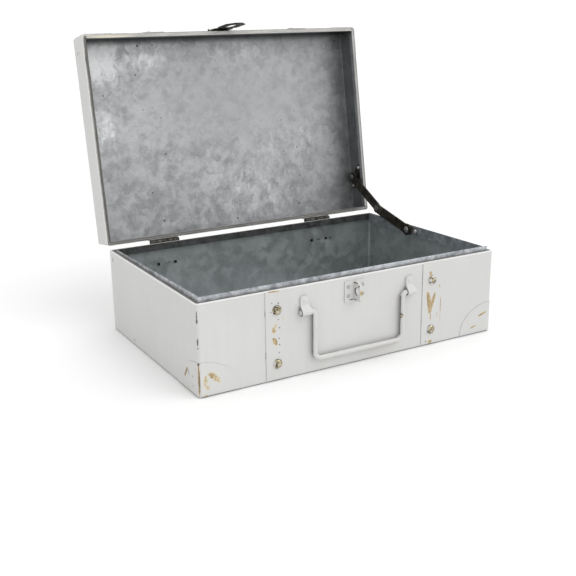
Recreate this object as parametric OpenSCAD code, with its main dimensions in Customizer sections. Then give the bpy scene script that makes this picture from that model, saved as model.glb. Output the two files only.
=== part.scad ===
// Small tin trunk with a hinged lid, a hasp and staple, a wire bail handle and a folding lid stay.
// The trunk faces -Y and stands on z = 0 with its origin at the middle of its base.
// The lid is drawn standing open; every lid piece is set out closed and then turned about the hinge.

/* [Case] */
// Width over the side walls
case_w = 356; // [300:1:420]
// Depth over the front and back walls
case_d = 232; // [200:1:280]
// Height from the base to the lid joint
case_h = 93; // [84:1:130]
// Thickness of the tin sheet
sheet_t = 0.7; // [0.5:0.05:0.9]
// Outside radius of the upright corners
corner_r = 3.5; // [2.5:0.1:6]
// Outside radius of the folds along the base and along the lid's top
fold_r = 1.6; // [1.2:0.1:2.5]
// Outside radius of the fold along both rims
rim_r = 0.6; // [0.5:0.1:1.2]
// Width of the flange that the walls turn in over the floor
base_flange_w = 9; // [6:0.5:15]
// Width of the hem turned in along the top of the case
case_hem_w = 5; // [4.9:0.1:7]
// Height of the return fold that hangs from each hem
hem_return_h = 6; // [5.5:0.1:9]

/* [Lid] */
// Height of the lid from its rim to its top
lid_h = 33; // [33:1:60]
// Width of the hem turned in along the lid's rim
lid_hem_w = 4.4; // [3:0.1:4.4]
// Gap between the two rims with the lid shut
lid_gap = 0.4; // [0.3:0.05:1]
// Angle the lid stands open at, from shut
lid_open = 99; // [80:1:105]

/* [Collar] */
// Thickness of the galvanised collar strips
collar_t = 1; // [0.6:0.1:1.2]
// How far the front and side strips hang down inside the case
collar_drop = 10; // [9.5:0.5:20]
// How far the back strip hangs down inside the case
collar_back_drop = 7; // [6:0.5:20]
// Height of the front strip above the case's rim
collar_front_lip = 4.5; // [3:0.5:7]
// Height of the left strip above the case's rim at its front end
collar_left_lip = 5; // [2:0.5:7]
// Height of the right strip above the case's rim at its front end
collar_right_lip = 3; // [2:0.5:7]
// Height of the side strips above the case's rim at their back ends
collar_rear_lip = 1.5; // [0.5:0.5:3]
// Height of the back strip above the case's rim
collar_back_lip = 0.5; // [0.2:0.1:1]
// Width of the dished marks that the spot welds leave
weld_d = 3.6; // [2.5:0.1:4]
// Depth of the spot welds' marks
weld_depth = 0.2; // [0.1:0.05:0.3]

/* [Straps and corner plates] */
// Width of the flat straps
strap_w = 25; // [18:0.5:32]
// Thickness of the flat straps
strap_t = 0.7; // [0.5:0.1:1.2]
// Distance from the trunk's middle to the middle of each strap
strap_x = 94; // [88:1:120]
// Diameter of the domed nail heads
nail_head_d = 10; // [7:0.5:14]
// Height of the domed nail heads
nail_head_h = 3; // [2:0.1:4.5]
// Height of the lower nails on the case straps
nail_low_z = 18; // [12:1:30]
// Height of the upper nails on the case straps
nail_high_z = 73; // [55:1:76]
// Width of the case's corner plates along each wall
case_plate_w = 43; // [30:1:55]
// Height of the case's corner plates
case_plate_h = 35.5; // [25:0.5:50]
// Width of the lid's corner plates along each wall
lid_plate_w = 34; // [25:1:50]
// Height of the lid's corner plates
lid_plate_h = 27; // [20:0.5:28]
// Thickness of the corner plates
plate_t = 0.6; // [0.4:0.1:1]

/* [Handle] */
// Sideways offset of the handle from the trunk's middle
handle_x = 0; // [-5:0.5:5]
// Distance from the lid joint down to the handle's turning axis
handle_axis_drop = 26.5; // [24:0.5:28]
// Spacing of the two legs, centre to centre
handle_span = 106.5; // [90:0.5:115]
// Distance from the turning axis down to the grip
handle_drop = 50.5; // [40:0.5:52]
// Diameter of the bail's wire
wire_d = 5; // [3.5:0.1:6]
// Centreline radius of the bends beside the grip
grip_bend_r = 7; // [5:0.5:12]
// Centreline radius of the bends into the ears
ear_bend_r = 4.5; // [3.2:0.1:6]
// Width of the ears' fold round the bail
ear_w = 11; // [10:0.5:16]
// Width of the ears' leaves above the fold
ear_leaf_w = 9.4; // [8:0.2:10]
// Thickness of the ears' strip
ear_t = 1.1; // [0.8:0.1:1.4]
// Height of the ears' leaves above the turning axis
ear_h = 16; // [15:0.5:19]

/* [Hasp and staple] */
// Sideways offset of the hasp and staple from the trunk's middle
latch_x = -4; // [-6:0.5:6]
// Width of the hasp
hasp_w = 25; // [22:0.5:28]
// Thickness of the hasp
hasp_t = 1.2; // [0.8:0.1:1.5]
// Reach of the hasp's tip below the lid joint
hasp_reach = 36; // [33:0.5:40]
// Distance from the lid's top down to the hasp's pin
hasp_pin_drop = 13; // [11.5:0.5:14]
// Width of the leaf that carries the hasp's pin
hasp_leaf_w = 16.5; // [14:0.5:18]
// Diameter of the hasp's pin
hasp_pin_d = 2.4; // [2:0.1:2.8]
// Width of the slot in the hasp
hasp_slot_w = 10; // [8:0.5:12]
// Depth of the waist notches beside the lid joint
hasp_notch = 3.5; // [1:0.5:4]
// Width of the staple's plate
staple_plate_w = 25; // [23:0.5:28]
// Height of the staple's plate
staple_plate_h = 22; // [21.5:0.5:26]
// Distance from the lid joint down to the staple's middle
staple_drop = 15; // [14.5:0.1:17]
// Height of the staple's loop
staple_h = 19.5; // [18:0.5:20]
// How far the staple's loop stands out of the trunk's front
staple_out = 11.5; // [11:0.5:14]
// Thickness of the staple's loop
staple_t = 3; // [2:0.1:4]
// Diameter of the padlock eye
eye_d = 8; // [6:0.1:8.2]

/* [Hinges] */
// Distance from the middle of the pair of hinges to the middle of each
hinge_x = 104; // [80:1:110]
// Middle of the pair of hinges, counted from the trunk's middle
hinge_shift = -5.5; // [-6:0.5:6]
// Width of each hinge
hinge_w = 35; // [30:1:45]
// Height of each leaf from the pin
hinge_leaf_h = 29.5; // [28:0.5:29.5]
// Thickness of the leaves
hinge_t = 1.2; // [1:0.1:1.4]
// Diameter of the hinge pins
hinge_pin_d = 3.4; // [2.8:0.1:4]
// Distance from the pin to the row of rivets
hinge_rivet_drop = 25; // [20:0.5:25]
// Spacing of the two rivets in a leaf
hinge_rivet_gap = 21; // [15:1:24]

/* [Lid stay] */
// Distance from the back wall to the pivot on the case
stay_case_back = 91; // [85:1:95]
// Distance from the lid joint down to the pivot on the case
stay_case_drop = 3.4; // [3.3:0.1:3.7]
// Distance from the back wall to the pivot on the lid
stay_lid_back = 43.4; // [40:0.2:47]
// Height of the pivot on the lid above the lid's rim
stay_lid_rise = 20; // [18:0.5:20]
// Length of the lower arm between its pivots
stay_lower_len = 64.8; // [62:0.2:70]
// Drop of the middle pivot below the line between the outer two, with the lid open
stay_sag = 8.2; // [7.8:0.2:14]
// Width of the arms
arm_w = 12; // [9:0.5:12]
// Diameter of the eye at the lower arm's pivot on the case
arm_eye_d = 14.5; // [13:0.5:16]
// Thickness of the arms
arm_t = 1.5; // [1:0.1:1.6]
// Diameter of the pivot pins
pivot_d = 4; // [3:0.1:4.5]
// Thickness of the fixing plates
stay_plate_t = 1.2; // [1:0.1:1.5]
// Spacing of the two rivets in each fixing plate
stay_rivet_gap = 27; // [24:0.5:28]
// Slope of the fixing plate on the lid
stay_plate_slope = 32; // [20:1:32]

/* [Small rivets] */
// Diameter of the rivets' shanks
shank_d = 2.4; // [2:0.1:2.6]
// Diameter of the rivets' domed heads
rivet_head_d = 5; // [4:0.1:5.2]
// Height of the rivets' domed heads
rivet_head_h = 1.3; // [0.8:0.1:1.6]
// Diameter of the rivets' closed ends
tail_d = 3.4; // [3:0.1:3.6]
// Height of the rivets' closed ends
tail_h = 0.8; // [0.5:0.1:1]

/* [Clearances] */
// Radial clearance of a pin that turns
pin_clear = 0.05; // [0.02:0.01:0.09]
// Radial clearance round a rivet's shank
shank_clear = 0.1; // [0.05:0.01:0.2]
// Gap between parts that move past each other
move_gap = 0.3; // [0.3:0.05:0.5]
// End play of a part on its pin
end_play = 0.2; // [0.15:0.05:0.3]

/* [Hidden] */
$fn = 48;
cut = 1;                                         // how far a cutter runs past a face
front_y = -case_d / 2;
back_y = case_d / 2;
side_x = case_w / 2;
base_fold_z = sheet_t + fold_r;                  // top of the fold that the walls make over the floor
lid_z = case_h + lid_gap;                        // the lid's rim with the lid shut
lid_top_z = lid_z + lid_h;
hinge_r = hinge_pin_d / 2 + pin_clear + hinge_t; // outside radius of a hinge knuckle
hinge_y = back_y + hinge_r + move_gap;
hinge_z = case_h + lid_gap / 2;
knuckle_count = 5;
knuckle_len = (hinge_w - (knuckle_count - 1) * end_play) / knuckle_count;

collar_x = side_x - case_hem_w;                  // outer face of the side strips
collar_y = case_d / 2 - case_hem_w;              // outer face of the front and back strips
weld_z = case_h - hem_return_h / 2;              // height of the row of spot welds

wire_r = wire_d / 2;
ear_r = wire_r + pin_clear + ear_t;              // outside radius of the ears' fold
handle_out = ear_r;                              // the handle's axis in front of the wall
handle_axis_z = case_h - handle_axis_drop;
ear_start = handle_span / 2 + ear_bend_r + move_gap;
ear_rivet_up = ear_h - 4.5;
ear_leaf_cut = 2;                                // cut across the leaves' two top corners
wire_tail = 0.5;                                 // how far the wire's ends pass the ears

hasp_r = hasp_pin_d / 2 + pin_clear + hasp_t;    // outside radius of the hasp's knuckles
hasp_out = hasp_r + move_gap;                    // the pin's axis in front of the wall
hasp_pin_z = lid_top_z - hasp_pin_drop;
hasp_face = hasp_out - hasp_t / 2;               // back of the hasp's blade in front of the wall
hasp_leaf_t = 1;
hasp_leaf_up = hasp_pin_drop - fold_r - 0.4;     // height of the leaf above the pin
hasp_leaf_rivet_up = hasp_leaf_up - 3.2;
hasp_leaf_rivet_x = 4.5;
joint_v = case_h - hasp_pin_z;                   // the lid joint, counted from the hasp's pin
staple_z = case_h - staple_drop;
staple_plate_t = 1;
staple_rivet_x = 8.5;
staple_rivet_z = 4.8;
staple_lug_h = 4;                                // height of the two lugs that pass the wall
slot_clear = 2;                                  // room above and below the staple in the slot
flat_head_h = 0.4;                               // height of the flat rivet heads under the hasp
flat_head_d = 4.2;

arm_gap = end_play;                              // gap between the two arms
arm_r = arm_w / 2;
arm_back = max(stay_plate_t + rivet_head_h, arm_gap + arm_t) + move_gap;   // from the collar to the lower arm
lower_arm_x = collar_x - collar_t - arm_back - arm_t;   // inner face of the lower arm
upper_arm_x = lower_arm_x + arm_t + arm_gap;            // inner face of the upper arm
pivot_head_h = 1.2;
pivot_head_d = 8;
spacer_d = 7;
stay_plate_end_r = 4;
stay_plate_mid_r = 6;
stay_case_pivot = [back_y - stay_case_back, case_h - stay_case_drop];
stay_lid_shut = [back_y - stay_lid_back, lid_z + stay_lid_rise];
stay_lid_pivot = turned(stay_lid_shut, -lid_open);
stay_line = stay_lid_pivot - stay_case_pivot;
stay_along = stay_line / norm(stay_line);
stay_down = [stay_along[1], -stay_along[0]];
stay_mid_pivot = stay_case_pivot + sqrt(stay_lower_len ^ 2 - stay_sag ^ 2) * stay_along
    + stay_sag * stay_down;

// A point [y, z] turned about the hinge's axis
function turned(p, angle) = let (u = p[0] - hinge_y, v = p[1] - hinge_z)
    [hinge_y + u * cos(angle) - v * sin(angle), hinge_z + u * sin(angle) + v * cos(angle)];

paint = "whitesmoke";
zinc = "darkgray";
bronze = "darkslategray";
brass = "goldenrod";

// ---- Shapes and places that several pieces share ----

// Rectangle with four round corners, about its middle
module rounded_rect(w, d, r) {
    square([w - 2 * r, d], center = true);
    square([w, d - 2 * r], center = true);
    for (sx = [-1, 1], sy = [-1, 1])
        translate([sx * (w / 2 - r), sy * (d / 2 - r)]) circle(r);
}

// Upright section of a folded box: low corners of radius low_r, high corners of radius high_r
module box_section(w, h, low_r, high_r) {
    translate([-w / 2, low_r]) square([w, h - low_r - high_r]);
    translate([-w / 2 + low_r, 0]) square([w - 2 * low_r, h / 2]);
    translate([-w / 2 + high_r, h / 2]) square([w - 2 * high_r, h / 2]);
    for (s = [-1, 1]) {
        translate([s * (w / 2 - low_r), low_r]) circle(low_r);
        translate([s * (w / 2 - high_r), h - high_r]) circle(high_r);
    }
}

// Box with round upright corners and with rounded folds along its low and high edges
module folded_box(w, d, h, upright_r, low_r, high_r) {
    intersection() {
        linear_extrude(h) rounded_rect(w, d, upright_r);
        rotate([90, 0, 0]) linear_extrude(d + 2 * cut, center = true) box_section(w, h, low_r, high_r);
        rotate([90, 0, 90]) linear_extrude(w + 2 * cut, center = true) box_section(d, h, low_r, high_r);
    }
}

// Frame of a given width that runs round inside a w by d outline
module sheet_frame(w, d, band, h) {
    linear_extrude(h) difference() {
        square([w, d], center = true);
        square([w - 2 * band, d - 2 * band], center = true);
    }
}

// Sets a piece on the front: local x runs right, local y up and local z out of the wall
module on_front(x, z) {
    translate([x, front_y, z]) rotate([90, 0, 0]) children();
}

// Sets a piece on the back: local x runs left, local y up and local z out of the wall
module on_back(x, z) {
    translate([x, back_y, z]) rotate([90, 0, 180]) children();
}

// Sets a piece in a plane across the trunk: local x runs to the back, local y up and local z right
module across(x, p) {
    translate([x, p[0], p[1]]) rotate([90, 0, 90]) children();
}

// Turns what is set out with the lid shut into the open lid's place
module open_lid() {
    translate([0, hinge_y, hinge_z]) rotate([-lid_open, 0, 0]) translate([0, -hinge_y, -hinge_z]) children();
}

// Low dome of a given width and height, standing on z = 0
module dome(d, h) {
    ball_r = (d * d / 4 + h * h) / (2 * h);
    intersection() {
        translate([0, 0, h - ball_r]) sphere(ball_r);
        cylinder(d = d + cut, h = h);
    }
}

// Rivet whose head stands on z = 0 and whose closed end lies under a stack of sheets
module rivet(stack, head_d = rivet_head_d, head_h = rivet_head_h) {
    dome(head_d, head_h);
    translate([0, 0, -stack - tail_h]) cylinder(d = shank_d, h = stack + tail_h);
    translate([0, 0, -stack - tail_h]) cylinder(d = tail_d, h = tail_h);
}

// Rivet with a low flat head
module flat_rivet(stack) {
    cylinder(d = flat_head_d, h = flat_head_h);
    translate([0, 0, -stack - tail_h]) cylinder(d = shank_d, h = stack + tail_h);
    translate([0, 0, -stack - tail_h]) cylinder(d = tail_d, h = tail_h);
}

// Cutter for a rivet's shank, through a stack of sheets under z = 0
module shank_hole(stack) {
    translate([0, 0, -stack - cut]) cylinder(r = shank_d / 2 + shank_clear, h = stack + 2 * cut);
}

// Quarter of an ellipse with its middle at the origin
module quarter_ellipse(w, h) {
    steps = 20;
    polygon(concat([[0, 0]], [for (i = [0 : steps]) [w * cos(90 * i / steps), h * sin(90 * i / steps)]]));
}

// ---- Places of the fasteners ----

module at_case_nails() {
    for (s = [-1, 1], z = [nail_low_z, nail_high_z]) on_front(s * strap_x, z) children();
}

module at_lid_front_nails() {
    for (s = [-1, 1]) on_front(s * strap_x, lid_z + lid_h / 2) children();
}

module at_lid_top_nails() {
    for (s = [-1, 1]) translate([s * strap_x, back_y - nail_low_z, lid_top_z]) children();
}

module at_ears() {
    for (s = [-1, 1]) on_front(handle_x + s * (ear_start + ear_w / 2), handle_axis_z) children();
}

module at_staple_rivets() {
    for (sx = [-1, 1], sz = [-1, 1])
        on_front(latch_x + sx * staple_rivet_x, staple_z + sz * staple_rivet_z) children();
}

module at_hinge_rivets(z) {
    for (s = [-1, 1], g = [-1, 1]) on_back(hinge_shift + s * hinge_x + g * hinge_rivet_gap / 2, z) children();
}

module at_hasp_leaf_rivets() {
    for (s = [-1, 1])
        on_front(latch_x + s * hasp_leaf_rivet_x, hasp_pin_z + hasp_leaf_rivet_up) children();
}

// Rivets of the plate on the case: local z points into the trunk, from the collar's inner face
module at_stay_case_rivets() {
    for (s = [-1, 1])
        across(collar_x - collar_t, stay_case_pivot + [s * stay_rivet_gap / 2, 0])
            mirror([0, 0, 1]) children();
}

// Rivets of the plate on the lid: local z points into the trunk, from the lid wall's inner face
module at_stay_lid_rivets() {
    for (s = [-1, 1])
        across(side_x - sheet_t, stay_lid_shut
            + s * stay_rivet_gap / 2 * [cos(stay_plate_slope), sin(stay_plate_slope)])
            mirror([0, 0, 1]) children();
}

// ---- Case ----

module case_walls() {
    color(paint) difference() {
        union() {
            difference() {
                translate([0, 0, sheet_t])
                    folded_box(case_w, case_d, case_h - sheet_t, corner_r, fold_r, rim_r);
                translate([0, 0, 2 * sheet_t])
                    folded_box(case_w - 2 * sheet_t, case_d - 2 * sheet_t, case_h - 3 * sheet_t,
                        corner_r - sheet_t, fold_r - sheet_t, 0.05);
                translate([0, 0, sheet_t - cut]) linear_extrude(sheet_t + 2 * cut)
                    square([case_w - 2 * base_flange_w, case_d - 2 * base_flange_w], center = true);
                translate([0, 0, case_h - sheet_t - cut]) linear_extrude(sheet_t + 2 * cut)
                    square([2 * collar_x, 2 * collar_y], center = true);
            }
            translate([0, 0, case_h - hem_return_h])
                sheet_frame(2 * (collar_x + sheet_t), 2 * (collar_y + sheet_t), sheet_t,
                    hem_return_h - rim_r);
        }
        at_case_nails() shank_hole(sheet_t);
        at_ears() translate([0, ear_rivet_up, 0]) shank_hole(sheet_t);
        at_staple_rivets() shank_hole(sheet_t);
        for (s = [-1, 1])
            on_front(latch_x, staple_z + s * (staple_h - staple_lug_h) / 2)
                cube([staple_t + 2 * shank_clear, staple_lug_h + 2 * shank_clear, 2 * sheet_t + cut],
                    center = true);
        at_hinge_rivets(hinge_z - hinge_rivet_drop) shank_hole(sheet_t);
        at_stay_case_rivets() shank_hole(collar_t + sheet_t);
    }
}

module case_floor() {
    color(zinc) linear_extrude(sheet_t) rounded_rect(case_w - 2 * fold_r, case_d - 2 * fold_r, corner_r);
}

// Row of dished marks in the plane z = 0, where a strip is spot-welded to the rim's return fold
module weld_marks(count, pitch) {
    ball_r = (weld_d * weld_d / 4 + weld_depth * weld_depth) / (2 * weld_depth);
    for (i = [0 : count - 1])
        translate([(i - (count - 1) / 2) * pitch, 0, ball_r - weld_depth]) sphere(ball_r);
}

module collar_front() {
    color(zinc) difference() {
        translate([-collar_x, -collar_y, case_h - collar_drop])
            cube([2 * collar_x, collar_t, collar_drop + collar_front_lip]);
        translate([0, collar_t - collar_y, weld_z]) rotate([-90, 0, 0]) weld_marks(7, collar_x / 3.5);
    }
}

module collar_back() {
    color(zinc) difference() {
        translate([-collar_x, collar_y - collar_t, case_h - collar_back_drop])
            cube([2 * collar_x, collar_t, collar_back_drop + collar_back_lip]);
        translate([0, collar_y - collar_t, weld_z]) rotate([90, 0, 0]) weld_marks(7, collar_x / 3.5);
    }
}

// Side strip between the front and back strips, lower at its back end
module collar_side(x, front_lip) {
    end_y = collar_y - collar_t;
    translate([x, 0, case_h]) rotate([90, 0, 90]) linear_extrude(collar_t)
        polygon([[-end_y, -collar_drop], [end_y, -collar_drop], [end_y, collar_rear_lip],
                 [-end_y, front_lip]]);
}

module collar_left() {
    color(zinc) difference() {
        collar_side(-collar_x, collar_left_lip);
        translate([collar_t - collar_x, 0, weld_z]) rotate([90, 0, 90]) weld_marks(4, collar_y / 2);
    }
}

module collar_right() {
    color(zinc) difference() {
        collar_side(collar_x - collar_t, collar_right_lip);
        at_stay_case_rivets() shank_hole(collar_t);
        translate([collar_x - collar_t, -collar_y / 2, weld_z]) rotate([90, 0, -90])
            weld_marks(3, collar_y / 3);
        translate([collar_x - collar_t, 3 * collar_y / 4, weld_z]) rotate([90, 0, -90]) weld_marks(1, 0);
    }
}

// ---- Straps, nails and corner plates ----

module case_strap(x) {
    color(paint) difference() {
        translate([x - strap_w / 2, front_y - strap_t, base_fold_z])
            cube([strap_w, strap_t, case_h - base_fold_z - rim_r]);
        at_case_nails() shank_hole(strap_t);
    }
}

module case_strap_left() {
    case_strap(-strap_x);
}

module case_strap_right() {
    case_strap(strap_x);
}

module case_strap_nails() {
    color(brass) at_case_nails() translate([0, 0, strap_t])
        rivet(strap_t + sheet_t, nail_head_d, nail_head_h);
}

// Strap up the lid's front, over the fold and back across its top
module lid_strap(x) {
    color(paint) open_lid() difference() {
        translate([x, 0, lid_z]) rotate([90, 0, 90]) linear_extrude(strap_w, center = true) difference() {
            translate([-strap_t, rim_r]) union() {
                translate([front_y, 0]) square([case_d - fold_r, lid_h - rim_r - fold_r]);
                translate([front_y + fold_r + strap_t, 0])
                    square([case_d - 2 * fold_r, lid_h - rim_r + strap_t]);
                translate([front_y + fold_r + strap_t, lid_h - rim_r - fold_r]) circle(fold_r + strap_t);
            }
            translate([front_y, -cut]) square([case_d, lid_h - fold_r + cut]);
            translate([front_y + fold_r, -cut]) square([case_d, lid_h + cut]);
            translate([front_y + fold_r, lid_h - fold_r]) circle(fold_r);
        }
        at_lid_front_nails() shank_hole(strap_t);
        at_lid_top_nails() shank_hole(strap_t);
    }
}

module lid_strap_left() {
    lid_strap(-strap_x);
}

module lid_strap_right() {
    lid_strap(strap_x);
}

module lid_strap_nails() {
    color(brass) open_lid() {
        at_lid_front_nails() translate([0, 0, strap_t]) rivet(strap_t + sheet_t, nail_head_d, nail_head_h);
        at_lid_top_nails() translate([0, 0, strap_t]) rivet(strap_t + sheet_t, nail_head_d, nail_head_h);
    }
}

// Plate bent round the front right upright corner, a quarter ellipse on each wall
module corner_plate(low_z, w, h) {
    intersection() {
        translate([0, 0, low_z]) linear_extrude(h) difference() {
            rounded_rect(case_w + 2 * plate_t, case_d + 2 * plate_t, corner_r + plate_t);
            rounded_rect(case_w, case_d, corner_r);
        }
        union() {
            translate([side_x, front_y + corner_r, low_z]) rotate([90, 0, 0])
                linear_extrude(corner_r + 2 * plate_t) mirror([1, 0]) union() {
                    quarter_ellipse(w, h);
                    translate([-plate_t, 0]) square([corner_r + plate_t, h]);
                }
            translate([side_x - corner_r, front_y, low_z]) rotate([90, 0, 90])
                linear_extrude(corner_r + 2 * plate_t) union() {
                    quarter_ellipse(w, h);
                    translate([-plate_t, 0]) square([corner_r + plate_t, h]);
                }
        }
    }
}

module case_corner_left() {
    color(paint) mirror([1, 0, 0]) corner_plate(base_fold_z, case_plate_w, case_plate_h - base_fold_z);
}

module case_corner_right() {
    color(paint) corner_plate(base_fold_z, case_plate_w, case_plate_h - base_fold_z);
}

module lid_corner_left() {
    color(paint) open_lid() mirror([1, 0, 0]) corner_plate(lid_z + rim_r, lid_plate_w, lid_plate_h - rim_r);
}

module lid_corner_right() {
    color(paint) open_lid() corner_plate(lid_z + rim_r, lid_plate_w, lid_plate_h - rim_r);
}

// ---- Handle ----

// Front outline of an ear: the full fold below, the narrower leaves with two cut corners above
module ear_outline() {
    fold = ear_w / 2;
    leaf = ear_leaf_w / 2;
    step = ear_r + 1;                            // where the fold's width gives way to the leaves'
    polygon([[-fold, -step], [fold, -step], [fold, step], [leaf, step], [leaf, ear_h - ear_leaf_cut],
        [leaf - ear_leaf_cut, ear_h], [ear_leaf_cut - leaf, ear_h], [-leaf, ear_h - ear_leaf_cut],
        [-leaf, step], [-fold, step]]);
}

// Strip folded round the wire, its two leaves lying on the wall above
module handle_ear(s) {
    fold_top = ear_r + 3;                        // where the outer leaf comes back to the wall
    color(paint) difference() {
        on_front(handle_x + s * (ear_start + ear_w / 2), handle_axis_z) intersection() {
            translate([0, 0, -cut]) linear_extrude(2 * ear_r + 2 * cut) ear_outline();
            rotate([0, -90, 0]) linear_extrude(ear_w, center = true) difference() {
                union() {
                    translate([handle_out, 0]) circle(ear_r);
                    square([ear_t, ear_h]);
                    polygon([[0, 0], [2 * handle_out, 0], [handle_out + ear_r * cos(35), ear_r * sin(35)],
                        [2 * ear_t, fold_top], [2 * ear_t, ear_h], [0, ear_h]]);
                }
                translate([handle_out, 0]) circle(wire_r + pin_clear);
                polygon([[ear_t, 0], [handle_out, 0], [handle_out + (wire_r + pin_clear) * cos(38),
                    (wire_r + pin_clear) * sin(38)], [ear_t + 0.2, fold_top - 0.6], [ear_t, fold_top - 0.6]]);
            }
        }
        at_ears() translate([0, ear_rivet_up, 2 * ear_t]) shank_hole(2 * ear_t);
    }
}

module handle_ear_left() {
    handle_ear(-1);
}

module handle_ear_right() {
    handle_ear(1);
}

module handle_ear_rivets() {
    color(paint) at_ears() translate([0, ear_rivet_up, 2 * ear_t])
        rivet(2 * ear_t + sheet_t, rivet_head_d, 0.8);
}

// Quarter bend of the wire about the origin, from the +x axis to the +y axis
module wire_bend(bend_r) {
    rotate_extrude(angle = 90) translate([bend_r, 0]) circle(wire_r);
}

module handle_bail() {
    leg_x = handle_span / 2;
    leg_low = -handle_drop + grip_bend_r;
    leg_high = -ear_bend_r;
    wire_end = ear_start + ear_w + wire_tail;
    color(paint) on_front(handle_x, handle_axis_z) translate([0, 0, handle_out]) {
        translate([-leg_x + grip_bend_r, -handle_drop, 0]) rotate([0, 90, 0])
            cylinder(r = wire_r, h = 2 * (leg_x - grip_bend_r));
        for (s = [0, 1]) mirror([s, 0, 0]) {
            translate([leg_x - grip_bend_r, leg_low, 0]) rotate([0, 0, -90]) wire_bend(grip_bend_r);
            translate([leg_x, leg_low, 0]) rotate([-90, 0, 0]) cylinder(r = wire_r, h = leg_high - leg_low);
            translate([leg_x + ear_bend_r, leg_high, 0]) rotate([0, 0, 90]) wire_bend(ear_bend_r);
            translate([leg_x + ear_bend_r, 0, 0]) rotate([0, 90, 0])
                cylinder(r = wire_r, h = wire_end - leg_x - ear_bend_r);
        }
    }
}

// ---- Staple and hasp ----

module staple_plate() {
    color(paint) difference() {
        on_front(latch_x, staple_z) translate([0, -0.3, 0]) linear_extrude(staple_plate_t)
            rounded_rect(staple_plate_w, staple_plate_h, 1.5);
        at_staple_rivets() translate([0, 0, staple_plate_t]) shank_hole(staple_plate_t);
        for (s = [-1, 1])
            on_front(latch_x, staple_z + s * (staple_h - staple_lug_h) / 2)
                cube([staple_t + 2 * shank_clear, staple_lug_h + 2 * shank_clear, 2 * staple_plate_t + cut],
                    center = true);
    }
}

// Loop standing out of its plate, with the padlock eye through it and two lugs through the wall
module staple_loop() {
    eye_out = staple_plate_t + 1 + eye_d / 2;
    low_r = 2.5;
    high_r = 5;
    color(paint) on_front(latch_x, staple_z) rotate([0, 90, 0]) mirror([1, 0, 0]) {
        difference() {
            linear_extrude(staple_t, center = true) hull() {
                translate([staple_plate_t, -staple_h / 2]) square([0.5, staple_h]);
                translate([staple_out - low_r, low_r - staple_h / 2]) circle(low_r);
                translate([staple_out - high_r, staple_h / 2 - high_r - 1]) circle(high_r);
            }
            translate([eye_out, 0, 0]) cylinder(d = eye_d, h = staple_t + 2 * cut, center = true);
        }
        for (s = [-1, 1])
            translate([-sheet_t - 0.3, s * (staple_h - staple_lug_h) / 2 - staple_lug_h / 2, -staple_t / 2])
                cube([sheet_t + 0.3 + staple_plate_t, staple_lug_h, staple_t]);
    }
}

module staple_rivets() {
    color(brass) at_staple_rivets() translate([0, 0, staple_plate_t]) flat_rivet(staple_plate_t + sheet_t);
}

// Knuckle of a rolled strip about the local x axis, cut from start to end
module rolled_knuckle(start, end, outer_r, bore_r) {
    translate([start, 0, 0]) rotate([0, 90, 0]) difference() {
        cylinder(r = outer_r, h = end - start);
        translate([0, 0, -cut]) cylinder(r = bore_r, h = end - start + 2 * cut);
    }
}

module hasp_leaf() {
    half = hasp_leaf_w / 2;
    bore_r = hasp_pin_d / 2 + pin_clear;
    color(paint) open_lid() difference() {
        on_front(latch_x, hasp_pin_z) {
            difference() {
                translate([-half, 0, 0]) cube([hasp_leaf_w, hasp_leaf_up, hasp_leaf_t]);
                translate([-half - cut, 0, hasp_out]) rotate([0, 90, 0])
                    cylinder(r = bore_r, h = hasp_leaf_w + 2 * cut);
            }
            translate([0, 0, hasp_out]) rolled_knuckle(-half, half, hasp_r, bore_r);
        }
        at_hasp_leaf_rivets() translate([0, 0, hasp_leaf_t]) shank_hole(hasp_leaf_t);
    }
}

module hasp_leaf_rivets() {
    color(brass) open_lid() at_hasp_leaf_rivets() translate([0, 0, hasp_leaf_t])
        rivet(hasp_leaf_t + sheet_t, 4, 0.8);
}

module hasp_pin() {
    color(brass) open_lid() on_front(latch_x - hasp_w / 2, hasp_pin_z) translate([0, 0, hasp_out])
        rotate([0, 90, 0]) cylinder(d = hasp_pin_d, h = hasp_w);
}

// Blade that hangs from two knuckles, waisted at the lid joint and slotted for the staple
module hasp_blade() {
    half = hasp_w / 2;
    ear_in = hasp_leaf_w / 2 + end_play;
    bore_r = hasp_pin_d / 2 + pin_clear;
    tip_v = joint_v - hasp_reach;
    tip_half = 5.5;
    notch_half = 5.5;
    slot_mid = staple_z - hasp_pin_z;
    slot_half = staple_h / 2 + slot_clear - hasp_slot_w / 2;
    color(paint) open_lid() on_front(latch_x, hasp_pin_z) {
        for (s = [0, 1]) mirror([s, 0, 0])
            translate([0, 0, hasp_out]) rolled_knuckle(ear_in, half, hasp_r, bore_r);
        difference() {
            translate([0, 0, hasp_face]) linear_extrude(hasp_t) difference() {
                polygon([[-half, 0], [-half, joint_v + notch_half], [-half + hasp_notch, joint_v + 1.5],
                    [-half + hasp_notch, joint_v - 1.5], [-half, joint_v - notch_half],
                    [-half, tip_v + 9], [-tip_half, tip_v + 1], [-tip_half + 2.5, tip_v],
                    [tip_half - 2.5, tip_v], [tip_half, tip_v + 1], [half, tip_v + 9],
                    [half, joint_v - notch_half], [half - hasp_notch, joint_v - 1.5],
                    [half - hasp_notch, joint_v + 1.5], [half, joint_v + notch_half], [half, 0]]);
                translate([-ear_in, -hasp_r - move_gap]) square([2 * ear_in, hasp_r + move_gap + cut]);
                translate([-hasp_slot_w / 2, slot_mid - slot_half]) square([hasp_slot_w, 2 * slot_half]);
                for (s = [-1, 1]) translate([0, slot_mid + s * slot_half]) circle(d = hasp_slot_w);
            }
            translate([-half - cut, 0, hasp_out]) rotate([0, 90, 0])
                cylinder(r = bore_r, h = hasp_w + 2 * cut);
        }
    }
}

// ---- Hinges ----

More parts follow.
